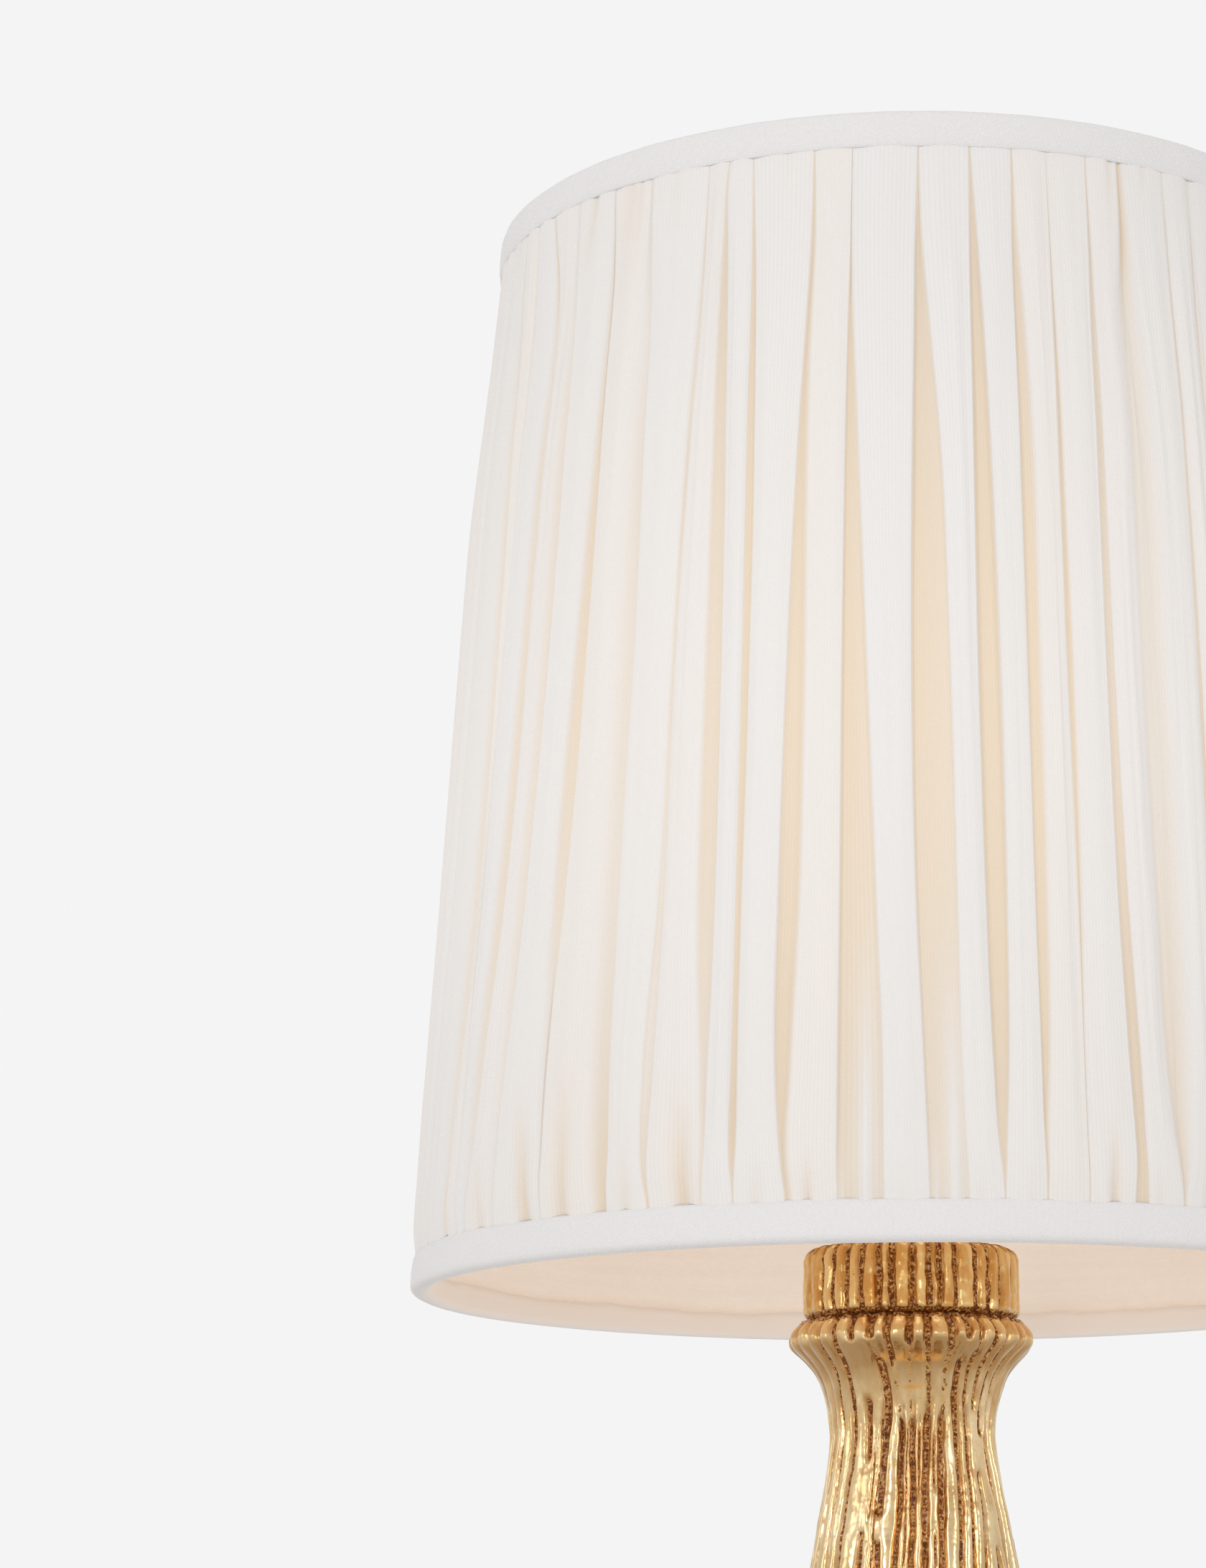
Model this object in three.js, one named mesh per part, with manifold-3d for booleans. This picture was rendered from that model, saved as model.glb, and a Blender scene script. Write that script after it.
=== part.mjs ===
// Cordless table lamp: reeded gilt column on a weighted foot, softly pleated shade on a harp.
// Millimetres, +Z up, origin on the table under the middle of the lamp, -Y towards the viewer.
import * as THREE from 'three';
import { mergeVertices } from 'three/addons/utils/BufferGeometryUtils.js';
import Module from 'manifold-3d';

const wasm = await Module();
wasm.setup();

// Fits
const seat = 0.3; // gap between two pieces that rest against each other
const slip = 0.3; // clearance round a piece that passes through another

// Battery pack, which sets the size of the foot
const cellRadius = 9.2;
const cellLength = 65.2;
const cellSpacing = 40; // between the two cells' axes, wide enough for the clamping nut
const terminalRadius = 3;
const terminalHeight = 1.2;
const stripThickness = 0.4; // nickel strip across the front ends of the cells
const stripHeight = 7;
const trayWall = 1.6;
const trayFloor = 1.5;
const traySide = 6; // height of the tray above its floor
const cellHeadroom = 1.4; // between the cells and the ballast above them

// Foot
const padRadius = 6;
const padHeight = 3;
const padProud = 2; // how far the rubber pads lift the foot off the table
const coverThickness = 2.8;
const footMargin = 5.2; // from the corners of the battery tray to the foot's inner wall
const footWall = 4.5;
const footRoof = 3.5;
const coveHeight = 12.5; // from the drum's shoulder up to the foot's top face
const footTopInset = 1.9; // how much smaller the foot's top is than the column's ring
const footBevel = 1.4;
const shoulderRound = 2;
const drumReeds = 42;
const drumReedDepth = 1.2;
const postRadius = 4;
const postInset = 2; // from the screw posts to the wall, bridged by a rib
const ribHalf = 1.5;
const ballastThickness = 6;

// Cover screws
const screwRadius = 1.5;
const screwHeadRadius = 2.9;
const screwHeadHeight = 1.5;
const screwLength = 11;

// Panel at the back of the foot, with the button, the charge light and the charging socket
const panelWidth = 26;
const panelHeight = 13;
const panelSunk = 2.5; // how far the panel's face lies inside the foot's radius
const panelRim = 2; // how far the flange behind the wall is wider than the panel
const panelFlange = 1.5;
const panelPlate = 2.8;
const socketWidth = 9;
const socketHeight = 3.3;
const socketLength = 10.5;
const socketWall = 0.35;
const socketRecess = 0.5; // how far the socket's mouth lies behind the panel's face
const socketX = -5.2;
const boardWidth = 28;
const boardHeight = 16;
const boardThickness = 1.6;
const buttonX = 8;
const buttonRadius = 3.8;
const buttonProud = 1;
const buttonRim = 0.8; // how far the rim behind the panel is wider than the button
const buttonRimThickness = 1.2;
const buttonTravel = 0.8;
const switchSize = 6;
const plungerRadius = 1.7;
const plungerLength = 2.7;
const plungerSunk = 1.9; // how much of the plunger stands inside the switch at rest
const lightX = 1.7;
const lightRadius = 1.1;
const lightProud = 0.2;

// Column
const columnReeds = 36;
const reedDepth = 0.95; // on the neck, the ring and the collar
const trunkReedDepth = 1.6; // where the column is widest
const columnHeight = 186.5;
const neckRingRadius = 22.1;
const neckRadius = 15.15;
const taperTopRadius = 17.35;
const taperFootRadius = 31.7;
const sweepRadius = 42.6; // where the column meets the ring at its base
const sweepNarrowing = 5.2; // from there up to the next height
const baseRingRadius = 47.4;
const baseRingRise = 7.6; // heights above the column's foot
const sweepRise = 10.2;
const sweepTopRise = 26;
const taperFootRise = 58;
const neckRingDrop = 3.2; // and below its top
const neckRingUnder = 5.8;
const neckRootDrop = 11.2;
const neckDrop = 22;
const taperTopDrop = 36;
const columnBore = 7;
const collarRadius = 20.2;
const collarHeight = 13;

// Rod that clamps the stack together
const rodRadius = 4.85;
const rodBore = 3.4;
const rodTail = 2.1; // below the bottom nut
const rodThread = 7; // inside the lamp tube
const nutAcrossFlats = 16;
const bottomNutHeight = 6;
const lockNutHeight = 4;
const washerRadius = 10;
const washerThickness = 1.5;
const checkRingRadius = 13;
const checkRingHeight = 2.2;

// Harp
const saddleThickness = 1.8;
const saddleWidth = 13;
const legSpacing = 44; // between the harp's two legs
const saddlePinHeight = 7;
const harpWireRadius = 1.9;
const harpHeight = 173.3; // from the saddle up to the seat of the shade
const harpSpread = 22; // how far the bow of the harp stands outside its legs
const harpStraight = 8; // of the leg, above the sleeve when it is lifted
const harpSeatRadius = 7.5;
const harpSeatThickness = 2;
const harpBossRadius = 4.6;
const sleeveWall = 1;
const sleeveLength = 14;
const studRadius = 3.1;
const studHeight = 14;

// Lamp
const tubeRadius = 8;
const tubeHeight = 54;
const sinkRadius = 14.5;
const sinkHeight = 8;
const sinkSpigotRadius = 11.5;
const sinkSpigotHeight = 3.4;
const ledBoardRadius = 11;
const ledBoardThickness = 1.6;
const ledChipSize = 9;
const ledChipHeight = 0.8;
const globeRadius = 22.5;
const globeWall = 1.5;
const globeNeckRadius = 13.5;
const globeNeckHeight = 1.8;

// Shade
const shadeBottomRadius = 91; // of the cone that the folds stand on
const shadeTopRadius = 75.5;
const shadeHeight = 202.4;
const shadeSegments = 40;
const spiderDrop = 14; // from the shade's top down to the top of its hub
const hubRadius = 13;
const hubThickness = 1.6;
const armRadius = 1.3;
const armCount = 3;
const armBend = 9; // run of the bend up to the top ring
const frameWireRadius = 1.3;
const linerThickness = 0.8;
const coverBacking = 0.8; // cloth behind the folds
const pleatCount = 57;
const tapeThickness = 0.7;
const tapeOutside = 7.3; // width of the edge tape outside
const tapeInside = 5; // and inside

// Finial
const finialBallRadius = 7.5;
const finialBaseRadius = 5.6;
const finialNeckRadius = 3.9;
const finialStem = 8; // height of the base and neck below the ball
const finialWeb = 1; // between the end of the stud and the end of the finial's bore

// Leads
const ledLeadRadius = 1.5;
const batteryLeadRadius = 0.9;
const leadBend = 5.5; // where the lead from the board turns up into the rod
const leadJoint = 10.5; // from the middle of the board to the joints of the battery leads

// Heights that follow from the stack, from the table up
const coverTop = padProud + coverThickness;
const trayBase = coverTop + seat;
const trayTop = trayBase + trayFloor + traySide;
const cellAxisZ = trayBase + trayFloor + seat + cellRadius;
const ballastBase = cellAxisZ + cellRadius + cellHeadroom;
const ballastTop = ballastBase + ballastThickness;
const footTop = ballastTop + seat + footRoof;
const washerBase = ballastBase - seat - washerThickness;
const bottomNutBase = washerBase - seat - bottomNutHeight;
const columnBase = footTop + seat;
const columnTop = columnBase + columnHeight;
const collarBase = columnTop + seat;
const collarTop = collarBase + collarHeight;
const checkRingBase = collarTop + seat;
const saddleBase = checkRingBase + checkRingHeight + seat;
const saddleTop = saddleBase + saddleThickness;
const lockNutBase = saddleTop + seat;
const tubeBase = lockNutBase + lockNutHeight + seat;
const sinkBase = tubeBase + tubeHeight + seat;
const sinkTop = sinkBase + sinkHeight;
const ledBoardBase = sinkTop + sinkSpigotHeight + seat;
const harpSeatZ = saddleTop + harpHeight;
const harpCrownZ = harpSeatZ - harpSeatThickness - seat - harpWireRadius;
const hubBase = harpSeatZ + seat;
const hubTop = hubBase + hubThickness;
const shadeBase = hubTop + spiderDrop - shadeHeight;
const finialBase = hubTop + seat;

// Places in the foot
const trayHalfWidth = cellSpacing / 2 + cellRadius + slip + trayWall;
const cellFront = -cellLength / 2 - 1.6;
const cellBack = cellFront + cellLength;
const terminalBack = cellBack + terminalHeight;
const stripFront = cellFront - seat - stripThickness;
const trayFront = stripFront - seat - trayWall;
const trayBack = cellBack + seat + trayWall;
const footInner = Math.hypot(trayHalfWidth, Math.max(-trayFront, trayBack)) + footMargin;
const footRadius = footInner + footWall;
const footTopRadius = baseRingRadius - footTopInset;
const postCircle = footInner - postRadius - postInset;
const postAngles = [30, 150, 210, 330];
const padCircle = footInner - padRadius - 3;
const padAngles = [45, 135, 225, 315];
const ballastRadius = Math.min(postCircle - postRadius - 0.5, footTopRadius - 3);
const panelFace = footRadius - panelSunk;
const flangeFace = panelFace - panelPlate;
const flangeBack = flangeFace - panelFlange;
const boardFront = panelFace - socketRecess - socketLength - seat;
const boardBack = boardFront - boardThickness;
const boardBase = coverTop + seat;
const panelZ = coverTop + 2.2 + panelHeight / 2;
const buttonRimBack = flangeBack - seat - buttonRimThickness;
const plungerFront = buttonRimBack - seat;
const plungerBack = plungerFront - plungerLength;
const switchFront = plungerBack + plungerSunk;
const wireGap = frameWireRadius + seat;

const gilt = { color: 0xc99a4b, metalness: 1, roughness: 0.32 };
const brass = { color: 0xc8a560, metalness: 1, roughness: 0.28 };
const steel = { color: 0xb9bcc0, metalness: 1, roughness: 0.35 };
const iron = { color: 0x4a4b4d, metalness: 0.7, roughness: 0.6 };
const aluminium = { color: 0xc9cccf, metalness: 1, roughness: 0.4 };
const blackPlastic = { color: 0x1d1d1f, metalness: 0, roughness: 0.6 };
const greyPlastic = { color: 0x8c8f93, metalness: 0, roughness: 0.6 };
const rubber = { color: 0x202020, metalness: 0, roughness: 0.9 };
const circuitBoard = { color: 0x1f5a3a, metalness: 0, roughness: 0.5 };
const cellSleeve = { color: 0x2f6fb0, metalness: 0, roughness: 0.4 };
const opal = { color: 0xfff4e2, metalness: 0, roughness: 0.35 };
const linerCloth = { color: 0xf0e0cc, metalness: 0, roughness: 0.9 };
const pleatCloth = { color: 0xefebe6, metalness: 0, roughness: 0.95 };
const tapeCloth = { color: 0xe6e3e2, metalness: 0, roughness: 0.95 };
const leadJacket = { color: 0xe8e8e6, metalness: 0, roughness: 0.6 };
const redJacket = { color: 0xb3261e, metalness: 0, roughness: 0.6 };
const blackJacket = { color: 0x18181a, metalness: 0, roughness: 0.6 };

const lamp = new THREE.Group();

/** The geometry with its points merged, no empty triangles, and its faces pointing out. */
function closed(geometry) {
  geometry.deleteAttribute('normal');
  geometry.deleteAttribute('uv');
  const merged = mergeVertices(geometry, 1e-4);
  const position = merged.getAttribute('position');
  const corner = (i) => new THREE.Vector3().fromBufferAttribute(position, i);
  const faces = [];
  let volume = 0;
  for (let i = 0; i < merged.index.count; i += 3) {
    const [a, b, c] = [0, 1, 2].map((k) => merged.index.getX(i + k));
    if (a !== b && b !== c && a !== c) {
      faces.push(a, b, c);
      volume += corner(a).dot(corner(b).cross(corner(c)));
    }
  }
  merged.setIndex(volume < 0 ? faces.reverse() : faces);
  return merged;
}

function toSolid(geometry) {
  const shell = closed(geometry);
  const vertProperties = Float32Array.from(shell.getAttribute('position').array);
  const triVerts = Uint32Array.from(shell.index.array);
  return new wasm.Manifold(new wasm.Mesh({ numProp: 3, vertProperties, triVerts }));
}

function toGeometry(solid) {
  const mesh = solid.getMesh();
  const geometry = new THREE.BufferGeometry();
  geometry.setAttribute('position', new THREE.BufferAttribute(mesh.vertProperties, 3));
  geometry.setIndex(Array.from(mesh.triVerts));
  return geometry;
}

function cut(geometry, tools) {
  const start = toSolid(geometry);
  return toGeometry(tools.reduce((solid, tool) => solid.subtract(toSolid(tool)), start));
}

function join(geometry, others) {
  const start = toSolid(geometry);
  return toGeometry(others.reduce((solid, other) => solid.add(toSolid(other)), start));
}

/** Turns an outline of [radius, height] points about the Z axis. */
function revolve(outline, segments) {
  const points = outline.map(([radius, height]) => new THREE.Vector2(radius, height));
  return new THREE.LatheGeometry(points, segments).rotateX(Math.PI / 2);
}

function cylinder(radius, low, high, segments) {
  const height = high - low;
  const geometry = new THREE.CylinderGeometry(radius, radius, height, segments);
  return geometry.rotateX(Math.PI / 2).translate(0, 0, (low + high) / 2);
}

/** A round bar along Y, from one depth to another. */
function barAlongY(radius, from, to, segments, x, z) {
  const geometry = new THREE.CylinderGeometry(radius, radius, to - from, segments);
  return geometry.translate(x, (from + to) / 2, z);
}

function block([x0, y0, z0], [x1, y1, z1]) {
  const geometry = new THREE.BoxGeometry(x1 - x0, y1 - y0, z1 - z0);
  return geometry.translate((x0 + x1) / 2, (y0 + y1) / 2, (z0 + z1) / 2);
}

/** A flat ring or washer. */
function ring(outer, inner, low, high, segments) {
  return revolve([[inner, low], [outer, low], [outer, high], [inner, high], [inner, low]], segments);
}

function hexNut(low, high) {
  const nut = cylinder(nutAcrossFlats / Math.sqrt(3), low, high, 6);
  return cut(nut, [cylinder(rodRadius + slip, low - 1, high + 1, 16)]);
}

function tube(path, radius, sides, steps) {
  const corners = [];
  for (let i = 0; i < sides; i++) {
    const angle = (i / sides) * 2 * Math.PI;
    corners.push(new THREE.Vector2(radius * Math.cos(angle), radius * Math.sin(angle)));
  }
  return new THREE.ExtrudeGeometry(new THREE.Shape(corners), { steps, extrudePath: path });
}

function smoothPath(points) {
  return new THREE.CatmullRomCurve3(points.map((p) => new THREE.Vector3(...p)), false, 'centripetal');
}

/** A plate with rounded corners in the XZ plane, from one depth to another along Y. */
function roundedPlate(width, height, corner, from, to, x, z) {
  const [w, h] = [width / 2, height / 2];
  const outline = new THREE.Shape();
  outline.absarc(w - corner, h - corner, corner, 0, Math.PI / 2);
  outline.absarc(corner - w, h - corner, corner, Math.PI / 2, Math.PI);
  outline.absarc(corner - w, corner - h, corner, Math.PI, Math.PI * 1.5);
  outline.absarc(w - corner, corner - h, corner, Math.PI * 1.5, Math.PI * 2);
  const options = { depth: to - from, bevelEnabled: false, curveSegments: 2 };
  return new THREE.ExtrudeGeometry(outline, options).rotateX(Math.PI / 2).translate(x, to, z);
}

/** A closed skin over rings of points, lowest ring first, with a flat cap at each end. */
function skin(rings) {
  const count = rings[0].length;
  const points = rings.flat();
  const faces = [];
  for (let i = 0; i + 1 < rings.length; i++) {
    for (let j = 0; j < count; j++) {
      const [a, b] = [i * count + j, i * count + ((j + 1) % count)];
      faces.push(a, b, b + count, a, b + count, a + count);
    }
  }
  const last = (rings.length - 1) * count;
  const bottom = points.push([0, 0, rings[0][0][2]]) - 1;
  const top = points.push([0, 0, rings.at(-1)[0][2]]) - 1;
  for (let j = 0; j < count; j++) {
    const next = (j + 1) % count;
    faces.push(bottom, next, j, top, last + j, last + next);
  }
  const geometry = new THREE.BufferGeometry();
  geometry.setAttribute('position', new THREE.Float32BufferAttribute(points.flat(), 3));
  geometry.setIndex(faces);
  return geometry;
}

/** Where the k-th of a round of reeds or pleats starts, with widths that vary a little. */
function unevenAngle(k, count, waves, amount) {
  const wander = amount * Math.sin((2 * Math.PI * waves * k) / count);
  return ((k + wander) / count) * 2 * Math.PI;
}

const reedShoulders = [0.27, 0.73]; // of a reed's width
const reedWaves = 13; // the reeds widen and narrow this often round the column
const reedUnevenness = 0.16; // of a reed's width
const pleatWaves = 17;
const pleatUnevenness = 0.18;

/** A turned form cut with reeds: the outline's points are [radius, height, groove depth]. */
function reeded(outline, count) {
  return skin(outline.map(([radius, height, depth]) => {
    const points = [];
    for (let k = 0; k < count; k++) {
      const start = unevenAngle(k, count, reedWaves, reedUnevenness);
      const width = unevenAngle(k + 1, count, reedWaves, reedUnevenness) - start;
      const groove = radius - depth;
      points.push([groove * Math.cos(start), groove * Math.sin(start), height]);
      for (const share of reedShoulders) {
        const angle = start + share * width;
        points.push([radius * Math.cos(angle), radius * Math.sin(angle), height]);
      }
    }
    return points;
  }));
}

function onCircle(radius, degrees) {
  const angle = THREE.MathUtils.degToRad(degrees);
  return [radius * Math.cos(angle), radius * Math.sin(angle)];
}

function add(name, finish, geometry) {
  const shell = closed(geometry);
  shell.computeVertexNormals();
  const mesh = new THREE.Mesh(shell, new THREE.MeshStandardMaterial(finish));
  mesh.name = name;
  lamp.add(mesh);
  return mesh;
}

// Foot: a reeded drum with a cove up to the column, hollow for the battery pack
function footCasting() {
  const shoulder = footTop - coveHeight;
  const outside = reeded([
    [footRadius - footBevel, padProud, drumReedDepth],
    [footRadius, padProud + footBevel, drumReedDepth],
    [footRadius, shoulder - shoulderRound, drumReedDepth],
    [footRadius - 0.85 * shoulderRound, shoulder, drumReedDepth],
    [footTopRadius + 5.5, shoulder + 2.6, 0.4],
    [footTopRadius + 2.2, shoulder + 6.5, 0],
    [footTopRadius, footTop, 0],
  ], drumReeds);
  const ceiling = footTop - footRoof;
  const hollow = revolve([
    [0, padProud - 1],
    [footInner, padProud - 1],
    [footInner, shoulder - 1.5 * shoulderRound],
    [footTopRadius + 0.5, shoulder + 3],
    [footTopRadius - 2, ceiling],
    [0, ceiling],
  ], 36);
  const shell = cut(outside, [hollow, cylinder(rodRadius + slip, ceiling - 1, footTop + 1, 16)]);
  const postTop = shoulder - 1.5 * shoulderRound;
  const posts = postAngles.map((angle) => {
    const [x, y] = onCircle(postCircle, angle);
    return cylinder(postRadius, coverTop + seat, postTop, 12).translate(x, y, 0);
  });
  const ribs = postAngles.map((angle) => block(
    [postCircle, -ribHalf, coverTop + seat],
    [footInner + 1, ribHalf, postTop],
  ).rotateZ(THREE.MathUtils.degToRad(angle)));
  const holes = postAngles.map((angle) => {
    const [x, y] = onCircle(postCircle, angle);
    const top = padProud + screwLength + 1;
    return cylinder(screwRadius + slip, coverTop, top, 8).translate(x, y, 0);
  });
  const [w, h] = [panelWidth / 2, panelHeight / 2];
  const window = block(
    [-w - slip, flangeBack, panelZ - h - slip],
    [w + slip, footRadius + 1, panelZ + h + slip],
  );
  const rimW = w + panelRim + slip;
  const rimH = h + panelRim + slip;
  const flat = block(
    [-rimW, flangeBack - 3, panelZ - rimH],
    [rimW, flangeFace + seat, panelZ + rimH],
  );
  return cut(join(shell, [...posts, ...ribs]), [...holes, window, flat]);
}

function baseCover() {
  const plate = cylinder(footInner - slip, padProud, coverTop, 36);
  const pockets = padAngles.map((angle) => {
    const [x, y] = onCircle(padCircle, angle);
    const roof = padHeight + seat;
    return cylinder(padRadius + slip, padProud - 1, roof, 12).translate(x, y, 0);
  });
  const holes = postAngles.map((angle) => {
    const [x, y] = onCircle(postCircle, angle);
    return revolve([
      [0, padProud - 1],
      [screwHeadRadius + slip, padProud - 1],
      [screwHeadRadius + slip, padProud + seat],
      [screwRadius + slip, padProud + screwHeadHeight + seat],
      [screwRadius + slip, coverTop + 1],
      [0, coverTop + 1],
    ], 8).translate(x, y, 0);
  });
  return cut(plate, [...pockets, ...holes]);
}

function coverScrew(angle) {
  const head = padProud + seat;
  const [x, y] = onCircle(postCircle, angle);
  return revolve([
    [0, head],
    [screwHeadRadius, head],
    [screwRadius, head + screwHeadHeight],
    [screwRadius, padProud + screwLength - 1],
    [0, padProud + screwLength],
  ], 8).translate(x, y, 0);
}

function rubberPad(angle) {
  const [x, y] = onCircle(padCircle, angle);
  return revolve([
    [0, 0],
    [padRadius - 0.6, 0],
    [padRadius, 0.6],
    [padRadius, padHeight],
    [0, padHeight],
  ], 12).translate(x, y, 0);
}

add('foot_casting', gilt, footCasting());
add('base_cover', blackPlastic, baseCover());
postAngles.forEach((angle, i) => add(`cover_screw_${i + 1}`, steel, coverScrew(angle)));
padAngles.forEach((angle, i) => add(`rubber_foot_${i + 1}`, rubber, rubberPad(angle)));
const ballastHole = rodRadius + slip;
add('ballast_disc', iron, ring(ballastRadius, ballastHole, ballastBase, ballastTop, 24));

// Battery pack: two cells side by side in a cradle, joined by a strip at the front
function batteryTray() {
  const solid = block([-trayHalfWidth, trayFront, trayBase], [trayHalfWidth, trayBack, trayTop]);
  const beds = [-1, 1].map((side) => barAlongY(
    cellRadius + seat, stripFront - seat, cellBack + seat, 24, (side * cellSpacing) / 2, cellAxisZ,
  ));
  const channelHalf = cellSpacing / 2 - cellRadius - slip - trayWall;
  const channel = block(
    [-channelHalf, trayFront - 1, trayBase + trayFloor],
    [channelHalf, trayBack + 1, trayTop + 1],
  );
  return cut(solid, [...beds, channel]);
}

function batteryCell(side) {
  const half = cellLength / 2;
  const outline = [
    [0, -half],
    [cellRadius - 0.5, -half],
    [cellRadius, 0.5 - half],
    [cellRadius, half - 0.5],
    [cellRadius - 0.5, half],
    [terminalRadius, half],
    [terminalRadius, half + terminalHeight],
    [0, half + terminalHeight],
  ];
  const middle = cellFront + half;
  const cell = revolve(outline, 16).rotateX(-Math.PI / 2);
  return cell.translate((side * cellSpacing) / 2, middle, cellAxisZ);
}

add('battery_tray', blackPlastic, batteryTray());
add('battery_cell_1', cellSleeve, batteryCell(-1));
add('battery_cell_2', cellSleeve, batteryCell(1));
const stripHalf = cellSpacing / 2 + terminalRadius;
add('contact_strip', steel, block(
  [-stripHalf, stripFront, cellAxisZ - stripHeight / 2],
  [stripHalf, stripFront + stripThickness, cellAxisZ + stripHeight / 2],
));

// Panel at the back: what shows there and the board behind it
function rearPanel() {
  const rim = 2 * panelRim;
  const plate = roundedPlate(panelWidth, panelHeight, 2, flangeBack + 0.5, panelFace, 0, panelZ);
  const flange = roundedPlate(
    panelWidth + rim, panelHeight + rim, 2, flangeBack, flangeFace, 0, panelZ,
  );
  const [from, to] = [flangeBack - 1, panelFace + 1];
  const fit = 2 * slip;
  return cut(join(plate, [flange]), [
    roundedPlate(socketWidth + fit, socketHeight + fit, 1.7, from, to, socketX, panelZ),
    barAlongY(buttonRadius + slip, from, to, 20, buttonX, panelZ),
    barAlongY(lightRadius + slip, from, to, 12, lightX, panelZ),
  ]);
}

function chargingSocket() {
  const [back, mouth] = [boardFront + seat, panelFace - socketRecess];
  const corner = 1.4;
  const inner = 2 * socketWall;
  const floor = back + 2;
  const shell = cut(roundedPlate(socketWidth, socketHeight, corner, back, mouth, socketX, panelZ), [
    roundedPlate(
      socketWidth - inner, socketHeight - inner, corner - socketWall, floor, mouth + 1,
      socketX, panelZ,
    ),
  ]);
  const [tongueHalf, tongueThickness] = [3.3, 0.7];
  return join(shell, [block(
    [socketX - tongueHalf, floor - 1, panelZ - tongueThickness / 2],
    [socketX + tongueHalf, mouth - 1, panelZ + tongueThickness / 2],
  )]);
}

function powerButton() {
  const cap = panelFace + buttonProud;
  const outline = [
    [0, buttonRimBack],
    [buttonRadius + buttonRim, buttonRimBack],
    [buttonRadius + buttonRim, buttonRimBack + buttonRimThickness],
    [buttonRadius, buttonRimBack + buttonRimThickness],
    [buttonRadius, cap - 0.5],
    [buttonRadius - 0.5, cap],
    [0, cap - 0.25],
  ];
  return revolve(outline, 20).rotateX(-Math.PI / 2).translate(buttonX, 0, panelZ);
}

function tactSwitch() {
  const half = switchSize / 2;
  const housing = block(
    [buttonX - half, boardFront + seat, panelZ - half],
    [buttonX + half, switchFront, panelZ + half],
  );
  const wellFloor = plungerBack - buttonTravel - seat;
  return cut(housing, [
    barAlongY(plungerRadius + slip, wellFloor, switchFront + 1, 14, buttonX, panelZ),
  ]);
}

add('rear_panel', blackPlastic, rearPanel());
add('control_board', circuitBoard, block(
  [-boardWidth / 2, boardBack, boardBase],
  [boardWidth / 2, boardFront, boardBase + boardHeight],
));
add('charging_socket', steel, chargingSocket());
add('power_button', blackPlastic, powerButton());
add('switch_plunger', greyPlastic, barAlongY(
  plungerRadius, plungerBack, plungerFront, 12, buttonX, panelZ,
));
add('tact_switch', blackPlastic, tactSwitch());
add('charge_light', opal, barAlongY(
  lightRadius, boardFront + seat, panelFace + lightProud, 12, lightX, panelZ,
));

// Column: a tied bundle of reeds that widens to a ring at its base
function columnCasting() {
  const fromTop = (drop) => columnTop - drop;
  const fromBase = (rise) => columnBase + rise;
  const solid = reeded([
    [baseRingRadius - 3.4, fromBase(0), reedDepth],
    [baseRingRadius - 0.3, fromBase(3.4), trunkReedDepth],
    [baseRingRadius - 0.7, fromBase(baseRingRise), trunkReedDepth],
    [sweepRadius, fromBase(sweepRise), trunkReedDepth],
    [sweepRadius - sweepNarrowing, fromBase(sweepTopRise), trunkReedDepth],
    [taperFootRadius, fromBase(taperFootRise), trunkReedDepth],
    [taperTopRadius, fromTop(taperTopDrop), reedDepth],
    [neckRadius, fromTop(neckDrop), reedDepth],
    [neckRadius + 1.5, fromTop(neckRootDrop), reedDepth],
    [neckRingRadius - 0.7, fromTop(neckRingUnder), reedDepth],
    [neckRingRadius, fromTop(neckRingDrop), reedDepth],
    [neckRingRadius - 1.8, fromTop(0), reedDepth],
  ], columnReeds);
  return cut(solid, [cylinder(columnBore, columnBase - 1, columnTop + 1, 20)]);
}

function reededCollar() {
  const solid = reeded([
    [collarRadius - 0.9, collarBase, reedDepth],
    [collarRadius, collarBase + 1.2, reedDepth],
    [collarRadius, collarTop - 1.4, reedDepth],
    [collarRadius - 1.3, collarTop, reedDepth],
  ], columnReeds);
  return cut(solid, [cylinder(rodRadius + slip, collarBase - 1, collarTop + 1, 16)]);
}

add('body_casting', gilt, columnCasting());
add('reeded_collar', gilt, reededCollar());

// Rod and the hardware that it clamps
const rodBase = bottomNutBase - rodTail;
const boreFit = rodRadius + slip;
add('threaded_rod', steel, ring(rodRadius, rodBore, rodBase, tubeBase + rodThread, 16));
add('bottom_washer', steel, ring(
  washerRadius, boreFit, washerBase, washerBase + washerThickness, 16,
));
add('bottom_nut', steel, hexNut(bottomNutBase, bottomNutBase + bottomNutHeight));
add('check_ring', brass, revolve([
  [boreFit, checkRingBase],
  [checkRingRadius, checkRingBase],
  [checkRingRadius, checkRingBase + 0.9],
  [checkRingRadius - 3, checkRingBase + checkRingHeight],
  [boreFit, checkRingBase + checkRingHeight],
  [boreFit, checkRingBase],
], 20));
add('lock_nut', brass, hexNut(lockNutBase, lockNutBase + lockNutHeight));

// Harp: the saddle's pins carry the wire's legs inside two sleeves that slide up to free it
const legX = legSpacing / 2;
const sleeveBore = harpWireRadius + slip;
const legBase = saddleTop + saddlePinHeight + seat;

function harpSaddle() {
  const reach = legX + harpWireRadius + 1.5;
  const strip = roundedPlate(
    2 * reach, saddleWidth, saddleWidth / 2.2, 0, saddleThickness, 0, 0,
  ).rotateX(Math.PI / 2).translate(0, 0, saddleBase);
  const pins = [-1, 1].map((side) => cylinder(
    harpWireRadius, saddleBase + 0.5, saddleTop + saddlePinHeight, 10,
  ).translate(side * legX, 0, 0));
  const hole = cylinder(boreFit, saddleBase - 1, saddleTop + 1, 16);
  return cut(join(strip, pins), [hole]);
}

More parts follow.
